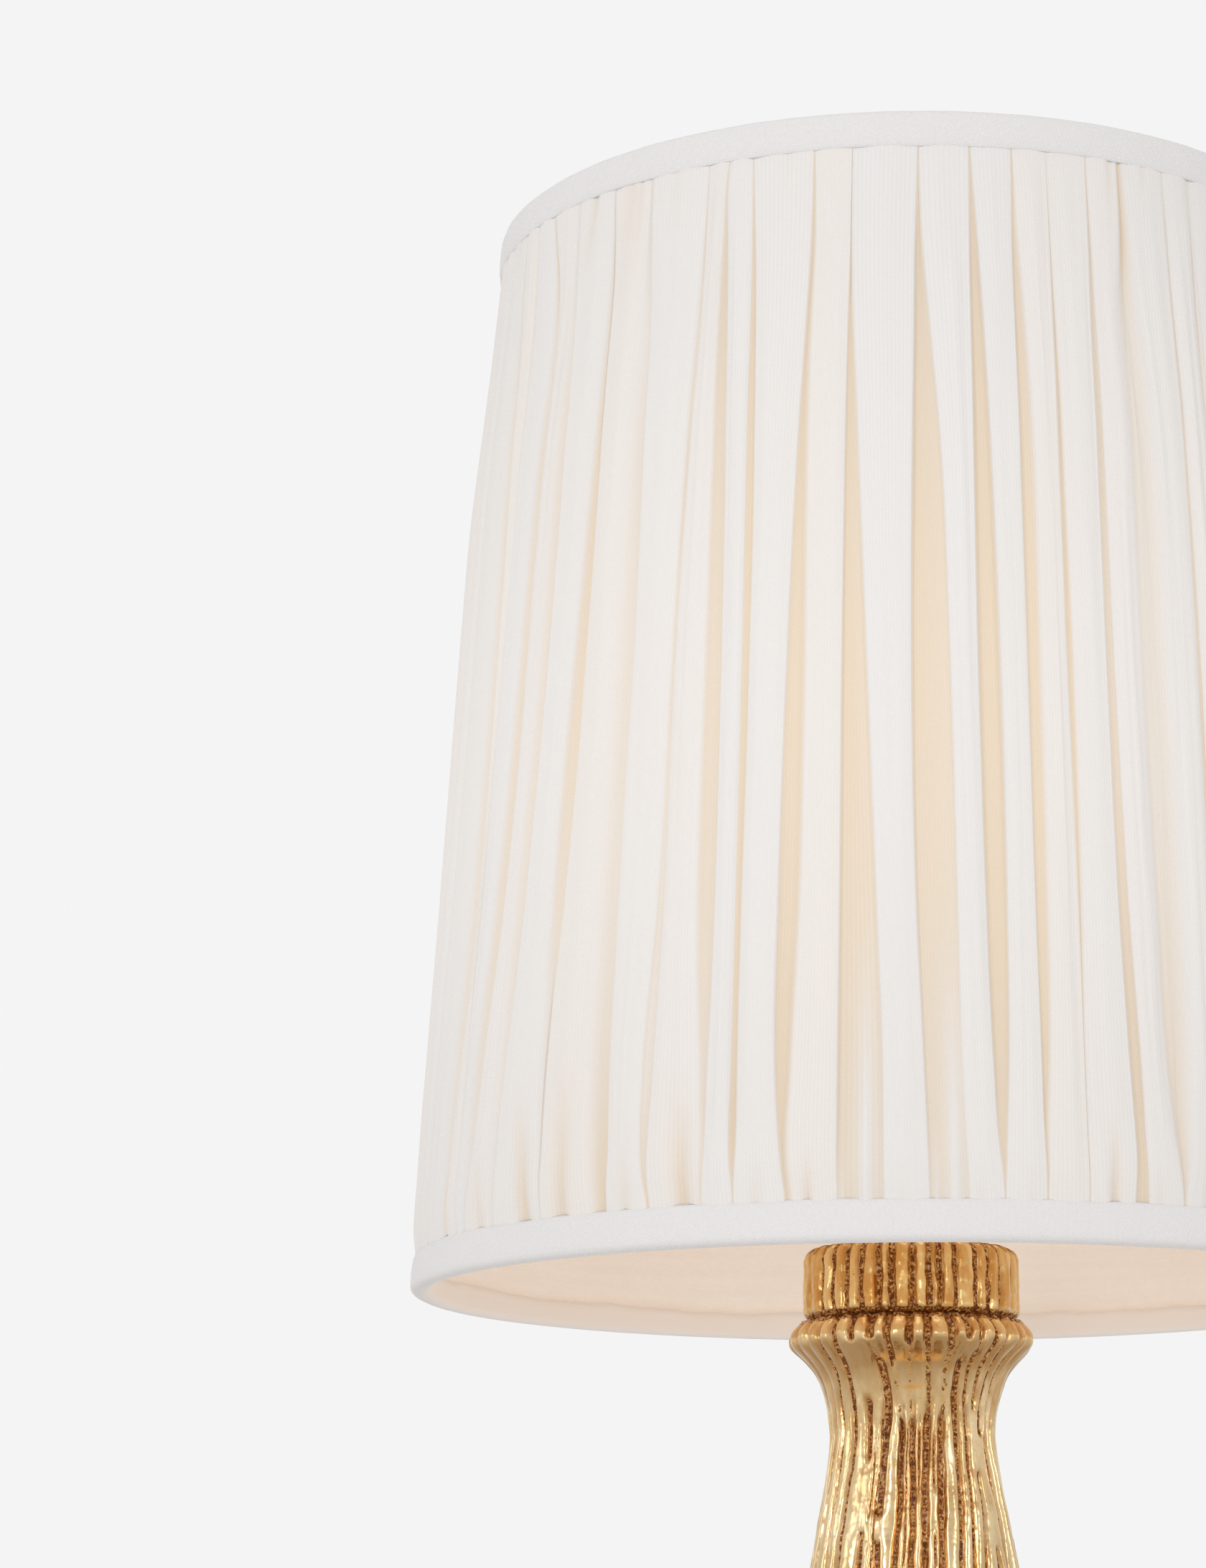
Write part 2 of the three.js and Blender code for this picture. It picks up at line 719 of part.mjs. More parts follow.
function harpWire() {
  const straight = saddleTop + 2 * sleeveLength + harpStraight;
  const bow = harpCrownZ - straight;
  const left = [
    [-legX, 0, legBase],
    [-legX, 0, straight - harpStraight],
    [-legX, 0, straight],
    [-legX - 0.55 * harpSpread, 0, straight + 0.2 * bow],
    [-legX - harpSpread, 0, straight + 0.42 * bow],
    [-legX - harpSpread, 0, straight + 0.66 * bow],
    [-legX - 0.5 * harpSpread, 0, straight + 0.86 * bow],
    [-legX + 0.18 * harpSpread, 0, straight + 0.97 * bow],
    [-2 * harpBossRadius, 0, harpCrownZ],
    [-harpBossRadius / 2, 0, harpCrownZ],
  ];
  const right = left.map(([x, y, z]) => [-x, y, z]).reverse();
  return tube(smoothPath([...left, ...right]), harpWireRadius, 6, 44);
}

function harpStud() {
  const bossBase = harpCrownZ - harpWireRadius - 1.6;
  const solid = revolve([
    [0, bossBase],
    [harpBossRadius, bossBase],
    [harpBossRadius, harpSeatZ - harpSeatThickness],
    [harpSeatRadius, harpSeatZ - harpSeatThickness],
    [harpSeatRadius, harpSeatZ],
    [studRadius, harpSeatZ],
    [studRadius, harpSeatZ + studHeight - 0.6],
    [studRadius - 0.6, harpSeatZ + studHeight],
    [0, harpSeatZ + studHeight],
  ], 20);
  const passage = barAlongY(sleeveBore, -harpSeatRadius, harpSeatRadius, 12, 0, 0);
  return cut(solid, [passage.rotateZ(Math.PI / 2).translate(0, 0, harpCrownZ)]);
}

function harpSleeve(side) {
  const [low, high] = [saddleTop + seat, saddleTop + seat + sleeveLength];
  const outer = sleeveBore + sleeveWall;
  return revolve([
    [sleeveBore, low],
    [outer + 0.5, low],
    [outer + 0.5, low + 1.2],
    [outer, low + 1.8],
    [outer, high],
    [sleeveBore, high],
    [sleeveBore, low],
  ], 12).translate(side * legX, 0, 0);
}

add('harp_saddle', brass, harpSaddle());
add('harp_wire', brass, harpWire());
add('harp_stud', brass, harpStud());
add('harp_sleeve_left', brass, harpSleeve(-1));
add('harp_sleeve_right', brass, harpSleeve(1));

// Lamp: a brass tube with the light source and its opal globe on top
function heatSink() {
  const outline = [
    [ledLeadRadius + slip, sinkBase],
    [tubeRadius, sinkBase],
  ];
  const grooves = 2;
  const pitch = (sinkHeight - 2.4) / grooves;
  for (let i = 0; i < grooves; i++) {
    const low = sinkBase + i * pitch;
    outline.push([tubeRadius + 0.5, low + 0.4 * pitch]);
    outline.push([sinkRadius - 1.5, low + 0.6 * pitch]);
    outline.push([sinkRadius - 1.5, low + pitch]);
    outline.push([tubeRadius + 1, low + 1.15 * pitch]);
  }
  outline.push([sinkRadius, sinkTop - 1.2]);
  outline.push([sinkRadius, sinkTop]);
  outline.push([sinkSpigotRadius, sinkTop]);
  outline.push([sinkSpigotRadius, sinkTop + sinkSpigotHeight]);
  outline.push([ledLeadRadius + slip, sinkTop + sinkSpigotHeight]);
  outline.push(outline[0]);
  return revolve(outline, 16);
}

function ledBoard() {
  const top = ledBoardBase + ledBoardThickness;
  const half = ledChipSize / 2;
  const chip = block([-half, -half, top - 0.5], [half, half, top + ledChipHeight]);
  return join(cylinder(ledBoardRadius, ledBoardBase, top, 24), [chip]);
}

function globe() {
  const base = sinkTop + seat;
  const innerRadius = globeRadius - globeWall;
  const innerNeck = globeNeckRadius - globeWall;
  const start = Math.asin(globeNeckRadius / globeRadius);
  const centre = base + globeNeckHeight + globeRadius * Math.cos(start);
  const innerStart = Math.asin(innerNeck / innerRadius);
  const steps = 7;
  const outline = [[innerNeck, base], [globeNeckRadius, base]];
  for (let i = 0; i <= steps; i++) {
    const angle = start + ((Math.PI - start) * i) / steps;
    outline.push([globeRadius * Math.sin(angle), centre - globeRadius * Math.cos(angle)]);
  }
  for (let i = steps; i >= 0; i--) {
    const angle = innerStart + ((Math.PI - innerStart) * i) / steps;
    outline.push([innerRadius * Math.sin(angle), centre - innerRadius * Math.cos(angle)]);
  }
  outline.push(outline[0]);
  return revolve(outline.map(([r, z]) => [Math.max(r, 0), z]), 20);
}

add('lamp_tube', brass, ring(tubeRadius, boreFit, tubeBase, tubeBase + tubeHeight, 20));
add('heat_sink', aluminium, heatSink());
add('led_board', circuitBoard, ledBoard());
add('globe_diffuser', opal, globe());

// Leads: from the board up the rod to the light source, and from the cells to the board
const leadZ = trayBase + trayFloor + 3;
const leadEnd = boardBack - seat;
add('led_lead', leadJacket, tube(smoothPath([
  [0, leadEnd, leadZ],
  [0, 0.5 * leadEnd, leadZ],
  [0, 2.5 * leadBend, leadZ],
  [0, leadBend, leadZ + 0.3 * leadBend],
  [0, 0.2 * leadBend, leadZ + leadBend],
  [0, 0, leadZ + 2 * leadBend],
  [0, 0, columnBase],
  [0, 0, columnTop],
  [0, 0, ledBoardBase - seat],
]), ledLeadRadius, 6, 40));
for (const [side, name, finish] of [[-1, 'positive', redJacket], [1, 'negative', blackJacket]]) {
  const cellX = (side * cellSpacing) / 2;
  add(`battery_lead_${name}`, finish, tube(smoothPath([
    [cellX, terminalBack + seat, cellAxisZ],
    [cellX, terminalBack + seat + 3, cellAxisZ],
    [side * (leadJoint + 0.5), leadEnd - 3, cellAxisZ],
    [side * leadJoint, leadEnd - 1.5, cellAxisZ],
    [side * leadJoint, leadEnd, cellAxisZ],
  ]), batteryLeadRadius, 8, 8));
}

// Shade: a wire frame with a liner, pleated cloth over it and taped edges
const shade = new THREE.Group();
shade.position.z = shadeBase;
const coneAt = (z) => shadeBottomRadius + ((shadeTopRadius - shadeBottomRadius) * z) / shadeHeight;
const wireZ = tapeThickness + wireGap; // from the shade's edge to the middle of the frame's wire
const wireInset = wireGap - slip; // and from the cone
const clothInset = wireZ + wireGap; // from the shade's edge to the end of the cloth
const linerOutside = coverBacking + slip;
const linerInside = linerOutside + linerThickness;

function frameRing(height) {
  const radius = coneAt(height) - wireInset;
  const geometry = new THREE.TorusGeometry(radius, frameWireRadius, 5, shadeSegments);
  return geometry.translate(0, 0, height);
}

function liner() {
  const [low, high] = [clothInset, shadeHeight - clothInset];
  return revolve([
    [coneAt(low) - linerInside, low],
    [coneAt(low) - linerOutside, low],
    [coneAt(high) - linerOutside, high],
    [coneAt(high) - linerInside, high],
    [coneAt(low) - linerInside, low],
  ], shadeSegments);
}

/** Soft pleats: flat folds with open gaps between them, pinched shut under both tapes. */
function pleatedCover() {
  const high = shadeHeight - clothInset;
  // height, how far the folds stand out from the cone, and the gap as a share of a pleat
  const levels = [
    [clothInset, -0.1, 0.06],
    [tapeOutside + 0.3, -0.05, 0.1],
    [tapeOutside + 7, 1.5, 0.16],
    [shadeHeight / 2, 2, 0.34],
    [shadeHeight - 37, 1.4, 0.2],
    [high, -0.1, 0.06],
  ];
  const rings = levels.map(([height, fullness, gapShare]) => {
    const cone = coneAt(height);
    const points = [];
    for (let k = 0; k < pleatCount; k++) {
      const start = unevenAngle(k, pleatCount, pleatWaves, pleatUnevenness);
      const width = unevenAngle(k + 1, pleatCount, pleatWaves, pleatUnevenness) - start;
      const marks = [
        [0, cone - 0.4 + 0.2 * Math.max(fullness, 0)],
        [gapShare / 2, cone + fullness],
        [1 - gapShare / 2, cone + fullness - 0.15 * Math.max(fullness, 0)],
      ];
      for (const [share, radius] of marks) {
        const angle = start + share * width;
        points.push([radius * Math.cos(angle), radius * Math.sin(angle), height]);
      }
    }
    return points;
  });
  const insideAt = (height) => coneAt(height) - coverBacking;
  const inside = revolve([
    [0, clothInset - 1],
    [insideAt(clothInset - 1), clothInset - 1],
    [insideAt(high + 1), high + 1],
    [0, high + 1],
  ], shadeSegments);
  return cut(skin(rings), [inside]);
}

/** Edge tape folded round a frame ring, as [offset from the cone, distance from the edge]. */
function edgeTape(atTop) {
  const outside = slip + tapeThickness;
  const inside = linerInside + slip;
  const wireSide = wireInset + wireGap;
  const outline = [
    [outside, tapeOutside],
    [outside, 1.1],
    [slip, 0],
    [-wireSide, 0],
    [-wireSide - tapeThickness, 1.2],
    [-inside - tapeThickness, tapeInside],
    [-inside, tapeInside],
    [-wireSide, wireZ + 1],
    [-wireSide, tapeThickness],
    [slip, tapeThickness],
    [slip, tapeOutside],
  ];
  outline.push(outline[0]);
  return revolve(outline.map(([offset, depth]) => {
    const height = atTop ? shadeHeight - depth : depth;
    return [coneAt(height) + offset, height];
  }), shadeSegments);
}

function spiderArm(degrees, radius) {
  const armZ = shadeHeight - spiderDrop - hubThickness / 2;
  const ringZ = shadeHeight - wireZ;
  const ringInside = coneAt(ringZ) - wireInset - frameWireRadius - seat;
  const straight = ringInside - 5;
  const path = smoothPath([
    [hubRadius + seat, 0, armZ],
    [(hubRadius + straight) / 2, 0, armZ],
    [straight - armBend - 3, 0, armZ],
    [straight - armBend, 0, armZ + 0.8],
    [straight - 3, 0, ringZ - 0.8],
    [straight, 0, ringZ],
    [ringInside, 0, ringZ],
  ]);
  return tube(path, radius, 6, 12).rotateZ(THREE.MathUtils.degToRad(degrees));
}

const armAngles = Array.from({ length: armCount }, (_, i) => 90 + (360 / armCount) * i);
const hubHole = studRadius + slip;
const hubLow = shadeHeight - spiderDrop - hubThickness;
const shadePieces = [
  add('bottom_wire_ring', steel, frameRing(wireZ)),
  add('top_wire_ring', steel, frameRing(shadeHeight - wireZ)),
  add('spider_hub', steel, ring(hubRadius, hubHole, hubLow, hubLow + hubThickness, 20)),
  ...armAngles.map((angle, i) => add(`spider_arm_${i + 1}`, steel, spiderArm(angle, armRadius))),
  add('shade_liner', linerCloth, liner()),
  add('pleated_cover', pleatCloth, pleatedCover()),
  add('bottom_trim', tapeCloth, edgeTape(false)),
  add('top_trim', tapeCloth, cut(
    edgeTape(true), armAngles.map((angle) => spiderArm(angle, armRadius + slip)),
  )),
];
shade.add(...shadePieces);
lamp.add(shade);

// Finial: a turned knob screwed down over the harp's stud
function finialKnob() {
  const top = finialBase + finialStem;
  const ballCentre = top + 0.85 * finialBallRadius;
  const boreTop = harpSeatZ + studHeight + finialWeb;
  const outline = [
    [0, finialBase],
    [finialBaseRadius, finialBase],
    [finialBaseRadius, finialBase + 1.6],
    [finialNeckRadius + 0.6, finialBase + 2.6],
    [finialNeckRadius + 0.6, top - 1.6],
  ];
  const steps = 7;
  const start = Math.asin((finialNeckRadius + 0.6) / finialBallRadius);
  for (let i = 0; i <= steps; i++) {
    const angle = start + ((Math.PI - start) * i) / steps;
    const height = ballCentre - finialBallRadius * Math.cos(angle);
    outline.push([Math.max(finialBallRadius * Math.sin(angle), 0), height]);
  }
  const bore = cylinder(studRadius + slip, finialBase - 1, boreTop, 16);
  return cut(revolve(outline, 18), [bore]);
}

add('finial_knob', gilt, finialKnob());

export default lamp;
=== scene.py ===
import math
import bmesh
import bpy
import numpy as np
from mathutils import Matrix, Vector


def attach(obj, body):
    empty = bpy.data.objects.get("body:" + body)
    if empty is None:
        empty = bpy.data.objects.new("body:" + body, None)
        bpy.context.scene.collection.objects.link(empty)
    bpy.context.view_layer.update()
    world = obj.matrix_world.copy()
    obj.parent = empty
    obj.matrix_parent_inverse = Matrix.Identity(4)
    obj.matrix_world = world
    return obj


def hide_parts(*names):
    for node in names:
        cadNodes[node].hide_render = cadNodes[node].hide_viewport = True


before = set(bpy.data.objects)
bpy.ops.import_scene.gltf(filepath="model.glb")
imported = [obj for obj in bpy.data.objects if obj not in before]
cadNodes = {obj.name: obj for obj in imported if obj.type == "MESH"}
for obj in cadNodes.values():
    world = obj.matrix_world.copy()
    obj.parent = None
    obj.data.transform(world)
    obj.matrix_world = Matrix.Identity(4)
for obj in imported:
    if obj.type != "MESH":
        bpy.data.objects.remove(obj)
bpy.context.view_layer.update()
mm = 0.001
print("frame loaded:", len(cadNodes), "nodes")

cameraSettings = {
    "position": (-0.00127, -0.82597, 0.14582),  # metres
    "yaw": -0.0674,  # radians
    "pitch": 0.2135,
    "roll": 0.0022,
    "focalPixels": 6228.86,
    "frameHeightPixels": 2185,
    "sensorHeight": 36.0,  # mm
}


def makeCamera(look):
    cosPitch = math.cos(look["pitch"])
    forward = Vector((
        math.sin(look["yaw"]) * cosPitch, math.cos(look["yaw"]) * cosPitch, math.sin(look["pitch"]),
    ))
    level = Vector((math.cos(look["yaw"]), -math.sin(look["yaw"]), 0.0))
    upright = level.cross(forward)
    cosRoll, sinRoll = math.cos(look["roll"]), math.sin(look["roll"])
    right = cosRoll * level + sinRoll * upright
    up = cosRoll * upright - sinRoll * level
    lens = bpy.data.cameras.new("photoCamera")
    lens.sensor_fit = "VERTICAL"
    lens.sensor_height = look["sensorHeight"]
    lens.lens = look["sensorHeight"] * look["focalPixels"] / look["frameHeightPixels"]
    camera = bpy.data.objects.new("photoCamera", lens)
    bpy.context.scene.collection.objects.link(camera)
    turned = Matrix((right, up, -forward)).transposed().to_4x4()
    camera.matrix_world = Matrix.Translation(look["position"]) @ turned
    bpy.context.scene.camera = camera


makeCamera(cameraSettings)
bpy.context.scene.view_settings.view_transform = "Standard"
print("camera set")


# node helpers
def addNode(tree, kind, **settings):
    node = tree.nodes.new(kind)
    for key, value in settings.items():
        setattr(node, key, value)
    return node


def feed(tree, socket, value):
    # gives a socket a number, a vector or a colour, or wires another node's output to it
    if isinstance(value, (int, float)):
        socket.default_value = value
    elif isinstance(value, tuple):
        socket.default_value = (*value, 1.0) if socket.type == "RGBA" else value
    else:
        tree.links.new(value, socket)


def calc(tree, operation, *values, clamp=False):
    node = addNode(tree, "ShaderNodeMath", operation=operation, use_clamp=clamp)
    for socket, value in zip(node.inputs, values):
        feed(tree, socket, value)
    return node.outputs[0]


def times(tree, first, second):
    return calc(tree, "MULTIPLY", first, second)


def scaled(tree, value, factor, offset):
    return calc(tree, "MULTIPLY_ADD", value, factor, offset)


def blendColor(tree, share, first, second, mode="MIX"):
    node = addNode(tree, "ShaderNodeMix", data_type="RGBA", blend_type=mode)
    for slot, value in ((0, share), (6, first), (7, second)):
        feed(tree, node.inputs[slot], value)
    return node.outputs[2]


def dimmed(tree, color, amount):
    return blendColor(tree, 1.0, color, amount, "MULTIPLY")


def remap(tree, value, low, high, toLow=0.0, toHigh=1.0):
    node = addNode(tree, "ShaderNodeMapRange", interpolation_type="SMOOTHSTEP")
    for socket, number in zip(node.inputs, (value, low, high, toLow, toHigh)):
        feed(tree, socket, number)
    return node.outputs[0]


def noise(tree, vector, scale, detail=3.0, roughness=0.5):
    node = addNode(tree, "ShaderNodeTexNoise")
    for label, value in (("Vector", vector), ("Scale", scale), ("Detail", detail), ("Roughness", roughness)):
        feed(tree, node.inputs[label], value)
    return node.outputs["Fac"]


def stretched(tree, vector, amounts):
    node = addNode(tree, "ShaderNodeVectorMath", operation="MULTIPLY")
    feed(tree, node.inputs[0], vector)
    feed(tree, node.inputs[1], amounts)
    return node.outputs[0]


def axes(tree, vector):
    node = addNode(tree, "ShaderNodeSeparateXYZ")
    feed(tree, node.inputs[0], vector)
    return node.outputs


def linear(*levels):
    shares = [level / 255 for level in levels]
    return tuple(share / 12.92 if share <= 0.04045 else ((share + 0.055) / 1.055) ** 2.4 for share in shares)


def newGroup(name, outputs, **inputs):
    # every group takes a Vector, and what else is given here with its usual value
    tree = bpy.data.node_groups.new(name, "ShaderNodeTree")
    tree.interface.new_socket(name="Vector", in_out="INPUT", socket_type="NodeSocketVector")
    for label, value in inputs.items():
        kind = "NodeSocketVector" if isinstance(value, tuple) else "NodeSocketFloat"
        socket = tree.interface.new_socket(name=label.replace("_", " "), in_out="INPUT", socket_type=kind)
        socket.default_value = value
    for label in outputs:
        tree.interface.new_socket(name=label, in_out="OUTPUT", socket_type="NodeSocketFloat")
    return tree, addNode(tree, "NodeGroupInput").outputs, addNode(tree, "NodeGroupOutput").inputs


def placeGroup(tree, group, **values):
    node = addNode(tree, "ShaderNodeGroup", node_tree=group)
    for key, value in values.items():
        feed(tree, node.inputs[key.replace("_", " ")], value)
    return node.outputs


def newMaterial(name, **constants):
    material = bpy.data.materials.new(name)
    material.use_nodes = True
    tree = material.node_tree
    surface = tree.nodes["Principled BSDF"].inputs
    for key, value in constants.items():
        feed(tree, surface[key.replace("_", " ")], value)
    return material, tree, surface


def bumped(tree, surface, height, distance, strength=1.0):
    node = addNode(tree, "ShaderNodeBump")
    for label, value in (("Strength", strength), ("Distance", distance), ("Height", height)):
        feed(tree, node.inputs[label], value)
    feed(tree, surface["Normal"], node.outputs[0])


def attribute(tree, name):
    return addNode(tree, "ShaderNodeAttribute", attribute_name=name).outputs["Fac"]


def position(tree):
    return addNode(tree, "ShaderNodeTexCoord").outputs["Object"]


# effects that several finishes share
def buildWeave():
    tree, given, result = newGroup(
        "clothWeave", ("Height", "Shade"), Rib_Pitch=0.5, Pick_Pitch=0.4, Slant=0.0, Wander=0.1,
    )
    turned = addNode(tree, "ShaderNodeVectorRotate", rotation_type="Z_AXIS")
    feed(tree, turned.inputs["Vector"], given["Vector"])
    feed(tree, turned.inputs["Angle"], given["Slant"])
    drift = noise(tree, stretched(tree, turned.outputs[0], (400, 60, 1)), 1.0, 2.0)
    plane = axes(tree, turned.outputs[0])
    across = calc(tree, "DIVIDE", times(tree, plane[0], 1000.0), given["Rib Pitch"])  # pitches are in mm
    across = scaled(tree, drift, given["Wander"], across)
    along = calc(tree, "DIVIDE", times(tree, plane[1], 1000.0), given["Pick Pitch"])
    offset = times(tree, calc(tree, "FLOOR", across), 2.4)  # each rib's picks are set off from the last one's
    rib = calc(tree, "SINE", times(tree, calc(tree, "FRACT", across), math.pi))
    pick = calc(tree, "SINE", scaled(tree, along, 2 * math.pi, offset))
    height = times(tree, rib, scaled(tree, pick, 0.3, 0.7))
    height = scaled(tree, noise(tree, given["Vector"], 9000.0, 2.0), 0.25, height)  # fuzz
    feed(tree, result["Height"], height)
    feed(tree, result["Shade"], remap(tree, height, 0.1, 1.1))
    return tree


def buildMetalGrain():
    tree, given, result = newGroup("metalGrain", ("Streak", "Cloud", "Pits"), Stretch=(1.0, 1.0, 1.0))
    drawn = stretched(tree, given["Vector"], given["Stretch"])
    feed(tree, result["Streak"], noise(tree, drawn, 900.0, 4.0))
    feed(tree, result["Cloud"], noise(tree, given["Vector"], 60.0, 4.0))
    feed(tree, result["Pits"], remap(tree, noise(tree, given["Vector"], 1400.0, 2.0), 0.62, 0.75))
    return tree


def buildMouldGrain():
    tree, given, result = newGroup("mouldedGrain", ("Height", "Haze"), Scale=1.0)
    sized = addNode(tree, "ShaderNodeVectorMath", operation="SCALE")
    feed(tree, sized.inputs[0], given["Vector"])
    feed(tree, sized.inputs["Scale"], given["Scale"])
    feed(tree, result["Height"], noise(tree, sized.outputs[0], 2600.0, 2.0))
    feed(tree, result["Haze"], noise(tree, sized.outputs[0], 70.0, 4.0, 0.6))
    return tree


clothWeave = buildWeave()
metalGrain = buildMetalGrain()
mouldedGrain = buildMouldGrain()
black = (0.0, 0.0, 0.0)

gildingLook = {
    "leafPale": linear(234, 210, 166),
    "leafDark": linear(214, 180, 126),
    "leafWarm": linear(240, 205, 140),
    "leafDeep": linear(216, 164, 92),
    "recessBrown": linear(210, 138, 60),
    "recessDark": linear(120, 62, 18),
    "leafShaded": linear(170, 130, 78),
    "flankBrown": linear(172, 116, 54),
    "smear": linear(218, 160, 84),
    "tarnish": linear(120, 104, 80),
    "liningReflectionFrom": 0.217,  # heights between which the leaf turns from champagne to orange gold, a painted reflection of the warm lining
    "liningReflectionTo": 0.223,
    "deepestBelow": 0.168,  # heights between which painted shade darkens the leaf down the column
    "deepestAbove": 0.205,
    "lowShadeShare": 0.8,
    "smoothRoughness": 0.24,
    "recessRoughness": 0.36,
    "patches": 300.0,  # sizes of the noises, per metre
    "ragged": 1300.0,
    "grit": 1700.0,
    "specks": 900.0,
    "streaks": 700.0,
    "dents": 640.0,
    "dentRelief": 0.4,
    "gritRelief": 2.2,
    "bumpDepth": 0.0004,
}


def gilding(look):
    material, tree, surface = newMaterial("handGilding", Metallic=1.0, Coat_Weight=0.35, Coat_Roughness=0.16)
    place = position(tree)
    height = axes(tree, place)[2]
    facing = axes(tree, addNode(tree, "ShaderNodeTexCoord").outputs["Normal"])[2]
    grit = noise(tree, place, look["grit"], 3.0, 0.7)
    grain = noise(tree, stretched(tree, place, (1, 1, 0.6)), look["ragged"], 3.0, 0.6)
    broad = noise(tree, stretched(tree, place, (1, 1, 0.3)), look["patches"], 4.0, 0.6)
    streaks = noise(tree, stretched(tree, place, (1, 1, 0.15)), look["streaks"], 2.0)
    ragged = scaled(tree, calc(tree, "SUBTRACT", grain, 0.5), 1.5, attribute(tree, "groove"))
    recess = remap(tree, ragged, 0.42, 0.62)
    leaf = blendColor(tree, remap(tree, broad, 0.33, 0.69), look["leafDark"], look["leafPale"])
    # painted reflection: towards the collar the leaf turns orange gold, as if tinted by the warm lining
    # inside the shade
    warm = blendColor(tree, remap(tree, broad, 0.40, 0.62), look["leafDeep"], look["leafWarm"])
    leaf = blendColor(tree, remap(tree, height, look["liningReflectionFrom"], look["liningReflectionTo"]), leaf, warm)
    # painted shade: the leaf grows darker down the column, holding down the low lamp's light on the neck
    leaf = dimmed(tree, leaf, remap(
        tree, height, look["deepestBelow"], look["deepestAbove"], look["lowShadeShare"], 1.0,
    ))
    for color, share in (  # from the first laid on to the last
        # painted shade on the faces that turn downwards
        ("leafShaded", remap(tree, facing, -0.05, -0.62, 0.0, 0.9)),
        ("smear", times(tree, attribute(tree, "smear"), remap(tree, broad, 0.34, 0.44))),
        ("tarnish", times(tree, attribute(tree, "tarnish"), remap(tree, streaks, 0.5, 0.6))),
        # darker brown on each reed's flanks beside a groove
        ("flankBrown", times(tree, attribute(tree, "flank"), remap(tree, broad, 0.25, 0.65, 1.0, 0.45))),
        ("leafDeep", remap(tree, ragged, 0.15, 0.5, 0.0, 0.6)),
        ("recessBrown", remap(tree, noise(tree, place, look["specks"], 2.0, 0.7), 0.70, 0.74)),
    ):
        leaf = blendColor(tree, share, leaf, look[color])
    soil = blendColor(tree, remap(tree, grit, 0.43, 0.54), look["recessDark"], look["recessBrown"])
    soil = blendColor(tree, remap(tree, grit, 0.53, 0.58), soil, look["leafWarm"])
    feed(tree, surface["Base Color"], blendColor(tree, recess, leaf, soil))
    rough = addNode(tree, "ShaderNodeMix", data_type="FLOAT")
    smooth = scaled(tree, broad, 0.2, look["smoothRoughness"] - 0.1)
    for slot, value in ((0, recess), (2, smooth), (3, look["recessRoughness"])):
        feed(tree, rough.inputs[slot], value)
    feed(tree, surface["Roughness"], rough.outputs[0])
    raised = times(tree, times(tree, grit, recess), look["gritRelief"])
    raised = scaled(tree, noise(tree, place, look["dents"], 1.0, 0.4), look["dentRelief"], raised)
    bumped(tree, surface, raised, look["bumpDepth"])
    return material


def weaveOn(tree, look, **values):
    # the weave, on the cloth laid out flat
    flat = addNode(tree, "ShaderNodeUVMap", uv_map="cloth").outputs[0]
    pitches = {"Rib_Pitch": look["ribPitch"], "Pick_Pitch": look["pickPitch"]}
    return flat, placeGroup(tree, clothWeave, Vector=flat, **pitches, **values)


clothLook = {
    "foldCool": linear(223, 221, 220),
    "foldWarm": linear(227, 221, 216),
    "valley": linear(213, 198, 179),
    "glow": linear(255, 228, 189),
    "foldGlow": linear(255, 244, 236),
    "ribPitch": 0.5,  # mm
    "pickPitch": 0.42,
    "threadShade": 0.045,
    "patches": 22.0,  # per metre
    "glowMiddle": 0.322,  # height of the globe behind the cloth
    "glowReach": 0.110,
    "foldMost": 0.16,  # share of the glow on the folds, at the globe's height
    "slotMost": 0.31,  # the same in the slots, beside what they have everywhere
    "slotLeast": 0.14,
}


def pleatCloth(look):
    material, tree, surface = newMaterial(
        "pleatedVoile", Roughness=0.86, Specular_IOR_Level=0.25, Sheen_Weight=0.18, Sheen_Roughness=0.5,
        Emission_Strength=0.3,
    )
    weave = weaveOn(tree, look, Wander=0.12)[1]
    place = position(tree)
    depth = attribute(tree, "valley")
    away = calc(tree, "ABSOLUTE", calc(tree, "SUBTRACT", axes(tree, place)[2], look["glowMiddle"]))
    near = remap(tree, away, look["glowReach"], 0.0)
    patches = noise(tree, stretched(tree, place, (1, 1, 0.3)), look["patches"], 2.0)
    patches = calc(tree, "SUBTRACT", patches, 0.5)
    tint = calc(tree, "MULTIPLY_ADD", patches, 0.9, attribute(tree, "warm"), clamp=True)
    fold = blendColor(tree, tint, look["foldCool"], look["foldWarm"])
    # the slots' floors show the layer beneath, warmer and darker: partly its own colour, partly painted shade
    # between the folds and painted light through the single layer
    color = blendColor(tree, depth, fold, look["valley"])
    thread = scaled(tree, weave["Shade"], look["threadShade"], 0.965)
    feed(tree, surface["Base Color"], dimmed(tree, color, thread))
    # painted light: emission stands for the globe's light through the cloth, strongest at the globe's height
    # and more in the slots than on the folds
    onFold = times(tree, calc(tree, "SUBTRACT", 1.0, depth), times(tree, near, look["foldMost"]))
    inSlot = times(tree, depth, scaled(tree, near, look["slotMost"], look["slotLeast"]))
    glow = blendColor(tree, depth, look["foldGlow"], look["glow"])
    feed(tree, surface["Emission Color"], blendColor(tree, calc(tree, "ADD", onFold, inSlot), black, glow))
    bumped(tree, surface, weave["Height"], 0.0001, 0.35)
    return material


tapeLook = {
    "cloth": linear(230, 228, 228),
    # the turned-in tape is the same cloth as outside, painted warmer for the light inside the shade; inGlow
    # adds painted glow there
    "turned": linear(232, 225, 220),
    "inGlow": linear(255, 232, 208),
    "ribPitch": 0.37,
    "pickPitch": 0.5,
    "slant": 52,  # degrees
    "threadShade": 0.08,
}


